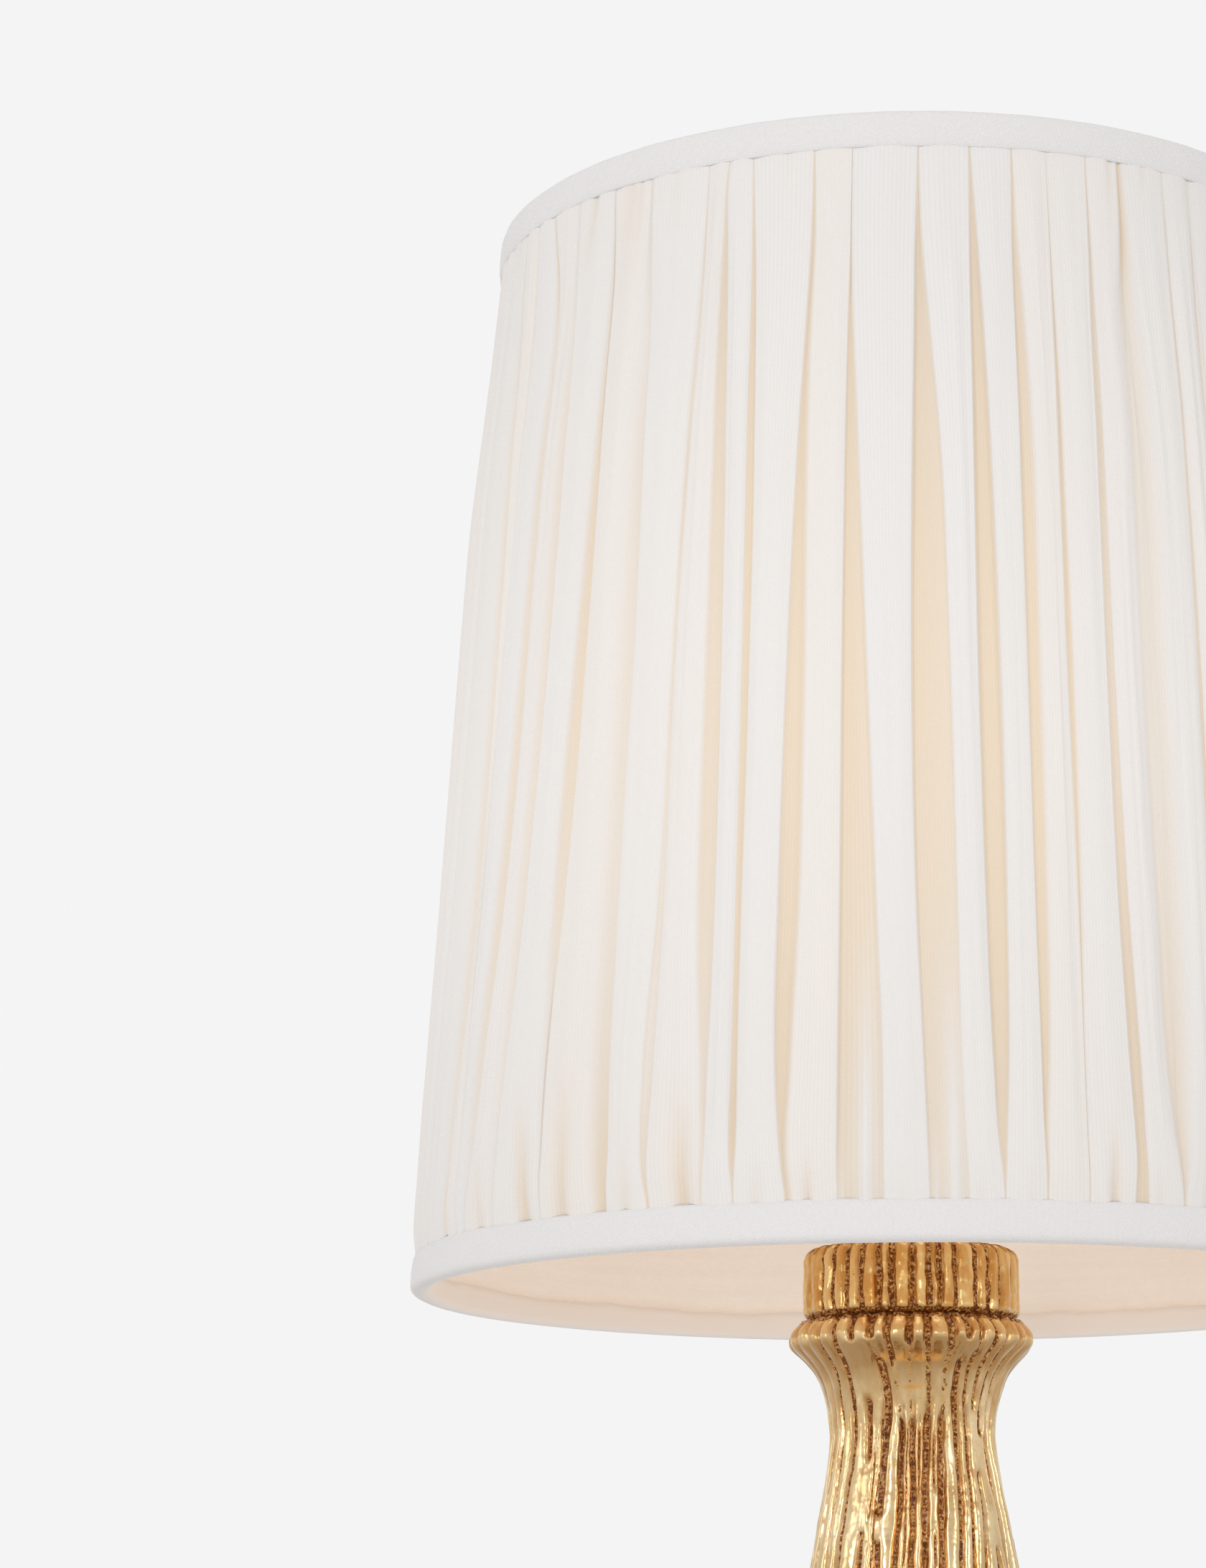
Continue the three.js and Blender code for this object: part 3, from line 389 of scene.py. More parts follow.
def tapeCloth(look):
    material, tree, surface = newMaterial(
        "biasTape", Roughness=0.88, Specular_IOR_Level=0.22, Sheen_Weight=0.15, Sheen_Roughness=0.5,
        Emission_Strength=0.16,
    )
    weave = weaveOn(tree, look, Slant=math.radians(look["slant"]), Wander=0.3)[1]
    inside = attribute(tree, "turnedIn")
    # painted light: the turned-in part takes a warmer copy of the tape's colour and a glow, for the light
    # inside the shade
    color = blendColor(tree, inside, look["cloth"], look["turned"])
    thread = scaled(tree, weave["Shade"], look["threadShade"], 1 - look["threadShade"])
    thread = calc(tree, "MAXIMUM", thread, times(tree, inside, 0.97))
    feed(tree, surface["Base Color"], dimmed(tree, color, thread))
    feed(tree, surface["Emission Color"], blendColor(tree, inside, black, look["inGlow"]))
    raised = times(tree, weave["Height"], calc(tree, "SUBTRACT", 1.0, inside))
    bumped(tree, surface, raised, 0.00012, 0.7)
    return material


liningLook = {
    "deep": linear(236, 227, 220),
    "pale": linear(242, 235, 229),
    "glow": linear(255, 236, 216),
    "ribPitch": 0.35,
    "pickPitch": 0.3,
    "slubShade": 0.08,
}


def liningCloth(look):
    material, tree, surface = newMaterial(
        "shadeLining", Roughness=0.9, Specular_IOR_Level=0.2, Emission_Strength=0.2,
    )
    flat, weave = weaveOn(tree, look, Slant=math.pi / 2, Wander=0.4)
    slub = scaled(tree, noise(tree, stretched(tree, flat, (30, 500, 1)), 1.0, 3.0), look["slubShade"], 0.94)
    color = blendColor(tree, remap(tree, noise(tree, flat, 14.0, 3.0), 0.3, 0.7), look["deep"], look["pale"])
    feed(tree, surface["Base Color"], dimmed(tree, color, slub))
    # painted light: the lining glows, standing for the globe's light on it
    feed(tree, surface["Emission Color"], blendColor(tree, slub, black, look["glow"]))
    bumped(tree, surface, weave["Height"], 0.00008, 0.6)
    return material


def metal(name, pale, dark, roughness, stretch=(1.0, 1.0, 1.0), metallic=1.0):
    material, tree, surface = newMaterial(name, Metallic=metallic)
    grain = placeGroup(tree, metalGrain, Vector=position(tree), Stretch=stretch)
    share = scaled(tree, grain["Streak"], 0.5, times(tree, grain["Cloud"], 0.5))
    color = blendColor(tree, remap(tree, share, 0.3, 0.7), linear(*dark), linear(*pale))
    feed(tree, surface["Base Color"], blendColor(tree, times(tree, grain["Pits"], 0.4), color, linear(*dark)))
    feed(tree, surface["Roughness"], remap(tree, share, 0.3, 0.7, roughness + 0.08, roughness - 0.05))
    bumped(tree, surface, grain["Streak"], 0.00004, 0.5)
    return material


def plastic(name, color, haze, roughness=0.5, scale=1.0, **constants):
    material, tree, surface = newMaterial(name, **constants)
    grain = placeGroup(tree, mouldedGrain, Vector=position(tree), Scale=scale)
    clouds = remap(tree, grain["Haze"], 0.4, 0.75)
    feed(tree, surface["Base Color"], blendColor(tree, clouds, linear(*color), linear(*haze)))
    feed(tree, surface["Roughness"], remap(tree, grain["Haze"], 0.3, 0.7, roughness, roughness + 0.12))
    bumped(tree, surface, grain["Height"], 0.00006, 0.5)
    return material


gilt = gilding(gildingLook)
voile = pleatCloth(clothLook)
tape = tapeCloth(tapeLook)
lining = liningCloth(liningLook)
# the finishes of the CAD nodes that stay, each with what the names of its nodes begin with
carriedFinishes = (
    (metal("brushedBrass", (214, 178, 108), (168, 124, 62), 0.26, (1.0, 1.0, 0.06)),
     ("check_ring", "lock_nut", "harp_", "lamp_tube")),
    (metal("platedSteel", (196, 198, 202), (140, 142, 148), 0.3, (1.0, 1.0, 0.3)),
     ("cover_screw_", "contact_strip", "charging_socket", "threaded_rod", "bottom_washer", "bottom_nut",
      "bottom_wire_ring", "top_wire_ring", "spider_")),
    (metal("castIron", (84, 84, 88), (46, 44, 44), 0.6, metallic=0.7), ("ballast_disc",)),
    (metal("turnedAluminium", (212, 214, 218), (170, 172, 178), 0.34, (0.2, 0.2, 1.0)), ("heat_sink",)),
    (plastic("blackNylon", (30, 30, 32), (46, 46, 49)),
     ("base_cover", "battery_tray", "rear_panel", "power_button", "tact_switch")),
    (plastic("greyNylon", (140, 143, 148), (158, 160, 164)), ("switch_plunger",)),
    (plastic("softRubber", (30, 30, 31), (52, 51, 50), 0.82, 0.6), ("rubber_foot_",)),
    (plastic("solderMask", (26, 84, 52), (38, 104, 66), 0.34, 1.4, Coat_Weight=0.4),
     ("control_board", "led_board")),
    (plastic("cellWrap", (44, 104, 170), (60, 120, 184), 0.3, 1.2, Coat_Weight=0.3), ("battery_cell_",)),
    (plastic("opalGlass", (216, 208, 194), (208, 199, 184), 0.22, 0.5, Emission_Color=linear(255, 232, 198),
             Emission_Strength=0.3, Coat_Weight=0.3), ("globe_diffuser", "charge_light")),
    (plastic("whiteJacket", (232, 231, 226), (220, 218, 212)), ("led_lead",)),
    (plastic("redJacket", (170, 36, 30), (186, 58, 48)), ("battery_lead_positive",)),
    (plastic("blackJacket", (26, 26, 28), (44, 44, 46)), ("battery_lead_negative",)),
)
finished = 0
for finish, beginnings in carriedFinishes:
    for name in cadNodes:
        if name.startswith(beginnings):
            cadNodes[name].data.materials.clear()
            cadNodes[name].data.materials.append(finish)
            finished += 1
print("materials built,", finished, "carried-over nodes finished")


# mesh helpers
def cornersOf(row, column, nextRow, nextColumn, wide):
    # for every face of a grid, its four corners' numbers
    return np.stack(np.broadcast_arrays(
        row * wide + column, row * wide + nextColumn, nextRow * wide + nextColumn, nextRow * wide + column,
    ), axis=-1).reshape(-1, 4)


def gridPiece(name, points, material, uv=None, masks=None, closeRows=False, gone=None):
    # a mesh over rows and columns of points in mm, closed round the columns
    rows, columns = points.shape[:2]
    mesh = bpy.data.meshes.new(name)
    row = np.arange(rows if closeRows else rows - 1)[:, None]
    column = np.arange(columns)[None, :]
    quads = cornersOf(row, column, (row + 1) % rows, (column + 1) % columns, columns)
    if gone is not None:
        quads = quads[~gone.reshape(-1)[quads].all(axis=1)]
    mesh.vertices.add(rows * columns)
    mesh.vertices.foreach_set("co", (points * mm).reshape(-1))
    mesh.loops.add(quads.size)
    mesh.loops.foreach_set("vertex_index", quads.reshape(-1))
    mesh.polygons.add(len(quads))
    mesh.polygons.foreach_set("loop_start", np.arange(0, quads.size, 4))
    mesh.polygons.foreach_set("use_smooth", np.ones(len(quads), bool))
    mesh.update(calc_edges=True)
    if uv is not None:
        corners = cornersOf(row, column, row + 1, column + 1, uv.shape[1])
        layer = mesh.uv_layers.new(name="cloth")
        layer.data.foreach_set("uv", uv.reshape(-1, 2)[corners.reshape(-1)].reshape(-1))
    for label, values in (masks or {}).items():
        data = mesh.attributes.new(label, "FLOAT", "POINT")
        data.data.foreach_set("value", values.reshape(-1).astype(np.float32))
    mesh.materials.append(material)
    mesh.validate()
    piece = bpy.data.objects.new(name, mesh)
    bpy.context.scene.collection.objects.link(piece)
    return piece


def settle(piece, body, replaced):
    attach(piece, body)
    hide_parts(replaced)
    return piece


def roundAxis(radius, angle, height):
    # points at an angle from the front, all in mm and radians
    return np.stack(np.broadcast_arrays(radius * np.sin(angle), -radius * np.cos(angle), height), axis=-1)


def runLength(points):
    # how far along a line of points each one is, in metres
    return np.concatenate([[0.0], np.cumsum(np.linalg.norm(np.diff(points, axis=0), axis=1))]) * mm


def uvGrid(across, along):
    return np.stack(np.broadcast_arrays(across[None, :], along[:, None]), axis=-1)


def smoothstep(value, low, high):
    share = np.clip((value - low) / (high - low), 0, 1)
    return share * share * (3 - 2 * share)


def bell(value, middle, reach, power=2):
    return np.exp(-(((value - middle) / reach) ** power))


def softCurve(places, values, at, blur):
    # straight runs between the points, blurred so that their corners are round
    fine = np.linspace(min(places), max(places), 1200)
    raw = np.interp(fine, places, values)
    step = fine[1] - fine[0]
    reach = np.arange(-int(3 * blur / step), int(3 * blur / step) + 1) * step
    weights = np.exp(-0.5 * (reach / blur) ** 2)
    weights /= weights.sum()
    padded = np.pad(raw, len(reach) // 2, mode="edge")
    return np.interp(at, fine, np.convolve(padded, weights, mode="valid"))


def lumpy(rng, shape, cells):
    # smooth random lumps between -1 and 1 over rows and columns, closed round the columns
    grid = rng.uniform(-1, 1, (cells[0] + 1, cells[1]))
    grid = np.concatenate([grid, grid[:, :1]], axis=1)
    v = np.linspace(0, cells[0], shape[0])[:, None]
    u = np.linspace(0, cells[1], shape[1], endpoint=False)[None, :]
    v0 = np.minimum(v.astype(int), cells[0] - 1)
    u0 = np.minimum(u.astype(int), cells[1] - 1)
    fv = smoothstep(v - v0, 0, 1)
    fu = smoothstep(u - u0, 0, 1)
    low = grid[v0, u0] * (1 - fu) + grid[v0, u0 + 1] * fu
    high = grid[v0 + 1, u0] * (1 - fu) + grid[v0 + 1, u0 + 1] * fu
    return low * (1 - fv) + high * fv


shadeSize = {
    "base": 228.0,  # mm above the table
    "height": 202.4,
    "bottomRadius": 91.0,
    "topRadius": 75.5,
}


def coneAt(height):
    share = height / shadeSize["height"]
    return shadeSize["bottomRadius"] + (shadeSize["topRadius"] - shadeSize["bottomRadius"]) * share


coverSettings = {
    "seed": 17,
    "rows": 72,
    "low": 3.6,  # mm above the shade's bottom edge
    "high": 198.8,
    "crowding": (0.075, 0.03),  # how much closer the rows stand at both tapes, and more so at the bottom one
    "topEdge": 202.0,
    "tapeReach": ((2, 26), (2, 30)),  # mm from the bottom and the top edge, between which the folds come free
    "foldColumns": (18, 8),  # across a fold, in front and behind
    "slotsBehind": 36,
    "narrowFloor": 2,  # columns across a slot's floor
    "wideFloor": 12,
    "wideFrom": 4.0,  # degrees
    "relief": 0.3,  # mm between a narrow slot's floor and the folds beside it
    "reliefPerWidth": 0.15,  # and this much more for each mm of the slot's width
    "deepest": 1.0,
    "closedRelief": 0.25,  # share of the relief where a slot is closed
    "narrowRelief": (0.1, 0.35),  # share in the narrowest slots: closed, and this much more when open
    "narrowWidths": (0.2, 1.7),  # mm of width between which a slot gains its full relief
    "softMost": 0.92,  # share of a slot's width that its soft sides may take
    "raisedTint": 0.6,  # share of its painted tone, shade and glow, that a slot's floor keeps where it has risen all the way
    "pinch": 0.4,  # share of the relief that is left under the tapes
    "crown": 0.42,
    "lipWidth": 0.36,  # mm, over which a hard edge rounds down into a slot
    "lipAcross": (1.0, 0.45, 0.05, -0.3, -0.75),  # shares of that width, from the fold's top down
    "lipRise": (1.0, 0.95, 0.66, 0.22, 0.0),
    "lift": 0.16,  # mm that a whole fold may stand higher or lower
    "tilt": 0.22,  # and its one side above the other
    "tuckReach": (34, 30),  # mm, for the tucks that the photograph doesn't show, at the bottom and top
    "tuckNumber": (2, 1),
    "ripples": (((9, 230), 0.10), ((24, 420), 0.035)),  # lumps up and round, and how tall they are, mm
    "foldRipples": (((4, 620), 0.09), ((3, 300), 0.16)),
    # how far the folds stand off the straight cone: height, mm
    "billow": (
        (0, 0.3), (6, 0.4), (8, 0.75), (11, 1.25), (20, 1.4), (60, 1.65), (100, 1.8), (130, 1.95), (150, 1.8),
        (162, 1.3), (175, 0.8), (188, 0.6), (196, 0.5), (202, 0.3),
    ),
}


def slot(*edges, soft=(0.0, 0.0), rise=0.0, warm=0.4):
    # edges are height in mm, then the slot's left and right side in degrees and how open it is there,
    # soft the mm over which its sides rise, rise how far its floor climbs to the right,
    # and warm the tint of the fold on its right
    return {"edges": np.array(edges, float), "soft": soft, "rise": rise, "warm": warm}


frontSlots = (
    slot((8, -76.4, -75.6, 0.3), (60, -75.9, -74.9, 0.4), (100, -75.4, -74.2, 0.5),
         (150, -75.6, -74.8, 0.3), (196, -76.0, -75.6, 0.2), soft=(0.9, 0.3), warm=0.3),
    slot((8, -71.9, -71.0, 0.3), (60, -71.4, -70.3, 0.3), (100, -70.6, -69.6, 0.35),
         (140, -70.6, -69.8, 0.35), (196, -71.0, -70.6, 0.1), soft=(0.8, 0.4), warm=0.3),
    slot((8, -65.4, -64.6, 0.3), (30, -65.2, -62.9, 0.35), (60, -63.6, -60.7, 0.5),
         (100, -62.9, -60.3, 0.55), (140, -63.0, -60.9, 0.5), (160, -63.6, -62.0, 0.4),
         (180, -64.2, -63.4, 0.2), (196, -64.6, -64.2, 0.1), soft=(2.2, 0.0), warm=0.7),
    slot((8, -61.6, -61.3, 0.1), (60, -59.9, -59.6, 0.1), (100, -59.0, -58.7, 0.2),
         (140, -58.6, -58.3, 0.25), (180, -59.4, -58.9, 0.4), (196, -60.6, -60.3, 0.2), soft=(0.2, 0.0),
         warm=0.15),
    slot((8, -59.3, -58.7, 0.1), (30, -59.0, -57.0, 0.4), (60, -57.0, -54.5, 0.65),
         (80, -56.0, -53.6, 0.7), (100, -55.4, -53.0, 0.7), (140, -54.6, -52.5, 0.6),
         (172, -53.6, -52.2, 0.6), (182, -53.9, -53.0, 0.9), (190, -55.0, -54.4, 0.8),
         (196, -55.9, -55.4, 0.5), soft=(1.6, 0.0), warm=0.6),
    slot((8, -52.9, -52.3, 0.1), (30, -52.9, -51.5, 0.25), (45, -52.6, -50.6, 0.4),
         (60, -52.2, -49.7, 0.5), (100, -50.8, -48.3, 0.55), (140, -50.2, -47.6, 0.5),
         (160, -50.0, -47.7, 0.4), (180, -49.2, -48.4, 0.15), (196, -49.4, -49.0, 0.1), soft=(2.4, 0.0),
         warm=0.35),
    slot((8, -44.0, -43.8, 0.2), (30, -44.8, -44.0, 0.25), (45, -44.9, -43.6, 0.4),
         (60, -44.9, -42.8, 0.6), (80, -44.6, -42.0, 0.75), (100, -44.0, -41.5, 0.85),
         (140, -42.6, -40.9, 0.85), (165, -42.1, -41.0, 0.6), (180, -41.8, -41.0, 0.4),
         (196, -42.1, -41.7, 0.2), soft=(1.5, 0.0), warm=0.75),
    slot((8, -36.6, -34.3, 1.0), (15, -37.2, -34.2, 0.9), (30, -37.6, -34.4, 0.65),
         (60, -37.4, -34.2, 0.45), (100, -37.0, -33.8, 0.45), (140, -36.4, -33.7, 0.4),
         (165, -35.6, -33.9, 0.2), (185, -35.4, -34.7, 0.3), (196, -35.3, -34.9, 0.5), soft=(3.5, 0.0),
         warm=0.35),
    slot((8, -29.2, -28.7, 0.9), (15, -30.0, -29.1, 0.7), (30, -30.2, -28.8, 0.45),
         (60, -29.0, -28.1, 0.45), (100, -28.5, -27.8, 0.5), (140, -27.6, -26.9, 0.6),
         (165, -26.9, -26.2, 0.5), (180, -26.6, -26.0, 0.45), (196, -26.2, -25.7, 0.3), soft=(0.5, 0.0),
         warm=0.6),
    slot((8, -22.8, -22.4, 0.6), (15, -22.9, -22.2, 0.6), (30, -23.2, -22.0, 0.6), (45, -23.7, -21.8, 0.7),
         (60, -24.0, -21.7, 0.75), (100, -24.0, -21.7, 0.8), (140, -23.9, -21.9, 0.8),
         (180, -23.9, -22.8, 0.8), (190, -23.6, -23.0, 0.7), (196, -23.0, -22.7, 0.6), soft=(0.9, 0.0),
         warm=0.25),
    slot((8, -19.0, -18.8, 0.8), (15, -19.4, -18.6, 1.0), (30, -19.4, -18.6, 1.0), (60, -19.3, -18.5, 1.0),
         (100, -19.2, -18.2, 1.0), (140, -19.2, -18.1, 1.0), (160, -19.3, -18.4, 1.0),
         (180, -19.5, -18.9, 1.0), (196, -19.7, -19.4, 0.7), soft=(0.4, 0.0), warm=0.35),
    slot((8, -13.2, -12.2, 1.0), (15, -13.7, -12.6, 1.0), (30, -14.3, -12.3, 1.0),
         (60, -14.2, -11.5, 0.95), (100, -13.6, -11.1, 0.95), (140, -12.6, -11.0, 1.0),
         (160, -11.9, -10.8, 1.0), (180, -11.3, -10.5, 1.0), (196, -11.1, -10.9, 0.9), soft=(0.0, 1.2),
         warm=0.8),
    slot((8, -7.7, -2.8, 0.8), (15, -7.7, -2.8, 0.8), (30, -7.6, -2.8, 0.85), (60, -7.4, -3.4, 0.95),
         (100, -7.2, -4.3, 1.0), (140, -6.8, -5.2, 1.0), (170, -6.4, -5.9, 1.0), (180, -6.2, -6.0, 0.9),
         (196, -6.0, -5.9, 0.7), soft=(0.3, 0.0), rise=0.3, warm=0.12),
    slot((8, 2.0, 6.1, 0.7), (15, 1.9, 5.9, 0.75), (30, 1.6, 5.6, 0.8), (60, 1.0, 5.5, 0.9),
         (100, 0.9, 5.3, 1.0), (140, 1.4, 4.7, 1.0), (160, 1.8, 3.8, 1.0), (180, 2.2, 3.0, 1.0),
         (196, 2.7, 2.8, 0.9), rise=0.4, warm=0.2),
    slot((8, 9.8, 9.9, 1.0), (15, 9.4, 10.1, 1.0), (30, 9.0, 10.6, 1.0), (60, 8.7, 11.0, 1.0),
         (100, 8.6, 11.1, 1.0), (140, 8.8, 10.8, 1.0), (180, 9.2, 10.1, 1.0), (196, 9.4, 9.6, 1.0),
         warm=0.3),
    slot((8, 14.3, 14.5, 0.9), (15, 14.2, 14.7, 1.0), (30, 14.2, 15.3, 1.0), (60, 14.2, 15.8, 1.0),
         (100, 14.4, 16.1, 1.0), (140, 14.5, 16.3, 0.95), (160, 14.6, 16.1, 0.95), (180, 14.8, 15.7, 1.0),
         (196, 15.1, 15.3, 1.0), soft=(0.0, 0.9), warm=0.7),
    slot((8, 18.9, 19.0, 0.8), (15, 18.8, 18.9, 0.8), (30, 18.8, 18.9, 0.8), (60, 19.0, 19.5, 1.0),
         (100, 19.1, 19.9, 1.0), (140, 19.3, 19.9, 1.0), (160, 19.5, 20.0, 0.9), (180, 19.7, 20.0, 0.5),
         (196, 19.8, 20.0, 0.3), warm=0.5),
    slot((8, 24.2, 25.8, 1.0), (15, 24.4, 25.7, 1.0), (30, 24.2, 25.6, 0.95), (60, 23.9, 25.2, 0.85),
         (100, 24.1, 25.2, 0.75), (140, 24.5, 25.5, 0.75), (160, 24.8, 25.7, 0.75),
         (180, 25.4, 25.9, 0.75), (196, 25.6, 25.8, 0.7), soft=(0.0, 0.3), warm=0.6),
    slot((8, 29.9, 30.3, 0.8), (15, 29.2, 31.2, 0.75), (30, 28.3, 32.0, 0.65), (60, 28.2, 32.6, 0.5),
         (100, 28.3, 33.0, 0.4), (140, 28.8, 33.2, 0.4), (170, 29.1, 32.4, 0.6), (180, 29.9, 32.0, 1.0),
         (196, 30.4, 31.4, 1.0), soft=(1.6, 3.0), warm=0.4),
    slot((8, 34.6, 35.0, 0.6), (60, 35.6, 36.3, 0.7), (100, 36.6, 37.5, 0.75), (140, 37.2, 37.9, 0.7),
         (180, 37.7, 38.2, 0.7), (196, 37.8, 38.2, 0.6), soft=(0.3, 0.3), warm=0.4),
    slot((8, 40.0, 40.6, 0.5), (60, 40.4, 41.2, 0.5), (100, 40.8, 41.6, 0.5), (140, 41.0, 41.9, 0.4),
         (180, 42.1, 42.7, 0.4), (196, 42.7, 43.1, 0.3), soft=(0.4, 0.4), warm=0.3),
)

# tucks that run out from a tape: its angle there and where it ends, how far it reaches,
# half width, depth, mm
bottomTucks = (
    (-64.0, -64.4, 24, 1.0, 0.40), (-54.8, -56.2, 24, 1.2, 0.50), (-46.1, -48.2, 32, 1.3, 1.00),
    (-40.5, -41.2, 40, 1.4, 0.85), (-31.6, -32.2, 22, 0.9, 0.45), (-24.4, -25.5, 32, 1.4, 1.00),
    (-16.6, -16.2, 18, 0.9, 0.35), (-10.7, -10.8, 18, 0.6, 0.85), (-0.9, -0.8, 14, 0.7, 0.20),
    (7.3, 7.2, 15, 0.6, 0.20), (12.5, 12.9, 17, 0.6, 0.22), (21.7, 22.0, 24, 0.7, 0.90),
    (27.2, 27.0, 16, 0.7, 0.25), (33.0, 33.5, 24, 1.0, 0.40), (38.0, 38.3, 20, 0.8, 0.50),
)
topTucks = (
    (-67.4, -66.8, 22, 1.1, 0.22), (-45.1, -47.4, 26, 1.0, 0.50), (-38.6, -38.9, 36, 1.5, 0.30),
    (-36.9, -37.3, 30, 0.8, 0.25), (-31.0, -31.2, 24, 1.0, 0.16), (-14.6, -14.8, 20, 0.9, 0.14),
    (22.6, 22.6, 7, 0.4, 0.60), (29.5, 29.2, 22, 0.7, 0.30), (34.8, 34.6, 18, 0.8, 0.20),
)
# low folds that rise from the bottom tape inside the widest slots
innerFolds = (
    (-7.2, -7.3, 16, 0.4, 0.50), (-4.7, -4.3, 60, 1.1, 0.80), (2.7, 2.7, 22, 0.45, 0.45),
    (4.7, 4.5, 56, 1.1, 0.80),
)


def slotBehind(rng, middle):
    # the photograph's kinds of slot, for the sides and back: open, thin, or a soft hollow
    kind = rng.choice(3, p=(0.45, 0.3, 0.25))
    widest = (rng.uniform(1.1, 2.7), rng.uniform(0.35, 0.9), rng.uniform(2.0, 3.4))[kind]
    opened = (0.85, 0.7, 0.4)[kind]
    atBottom = rng.choice((0.15, 0.5, 0.9))
    lean = rng.uniform(-0.9, 0.9) + rng.uniform(-0.35, 0.35, 4)
    fullest = rng.uniform(80, 120)
    edges = []
    for height, share, drift in (
        (8, atBottom * 0.8, lean[0]), (16, atBottom, 0.6 * lean[0]), (34, 0.8, 0.3 * lean[1]),
        (fullest, 1.0, 0.0), (142, 0.75, -0.4 * lean[2]), (178, 0.3, -lean[3]), (196, 0.1, -1.3 * lean[3]),
    ):
        half = 0.5 * max(widest * share, 0.12)
        edges.append((height, middle + drift - half, middle + drift + half, opened * rng.uniform(0.85, 1.0)))
    left, right = rng.choice((0.0, 0.0, 0.5, 1.4), 2)
    if kind == 2:
        left, right = rng.uniform(1.2, 2.6, 2)
    return slot(*edges, soft=(left, right), rise=rng.choice((0.0, 0.0, 0.35)), warm=rng.uniform(0.1, 0.8))


def throughPoints(points, column, at):
    # a smooth curve through every point of a table whose first column is the height
    places, values = points[:, 0], points[:, column]
    slopes = np.gradient(values, places)
    at = np.clip(at, places[0], places[-1])
    i = np.clip(np.searchsorted(places, at, side="right") - 1, 0, len(places) - 2)
    span = places[i + 1] - places[i]
    t = (at - places[i]) / span
    start = (1 + 2 * t) * (1 - t) ** 2 * values[i] + t * (1 - t) ** 2 * span * slopes[i]
    return start + t * t * (3 - 2 * t) * values[i + 1] + t * t * (t - 1) * span * slopes[i + 1]


def scatteredTucks(rng, angles, reach, number):
    # tucks for the folds that the photograph doesn't show
    tucks = []
    for angle in angles:
        for _ in range(rng.integers(0, number + 1)):
            place = angle + rng.uniform(-2.2, 2.2)
            tucks.append((
                place, place + rng.uniform(-1.2, 1.2), rng.uniform(0.4, 1.0) * reach,
                rng.uniform(0.5, 1.4), rng.choice((0.2, 0.4, 0.9)),
            ))
    return tucks


def tuckField(tucks, angle, rise):
    # how deep the tucks are, over a grid of angles (degrees) and distances from their tape (mm)
    total = np.zeros_like(angle)
    for place, end, reach, half, depth in tucks:
        run = np.clip(rise / reach, 0, 1)
        path = place + (end - place) * run
        away = (angle - path + 180) % 360 - 180
        spread = half * (0.8 + 0.9 * run)
        fade = 1 - smoothstep(run, 0.15, 1.0)
        total = total + depth * fade * np.exp(-np.abs(away * 1.5 / spread) ** 1.6)
    return total


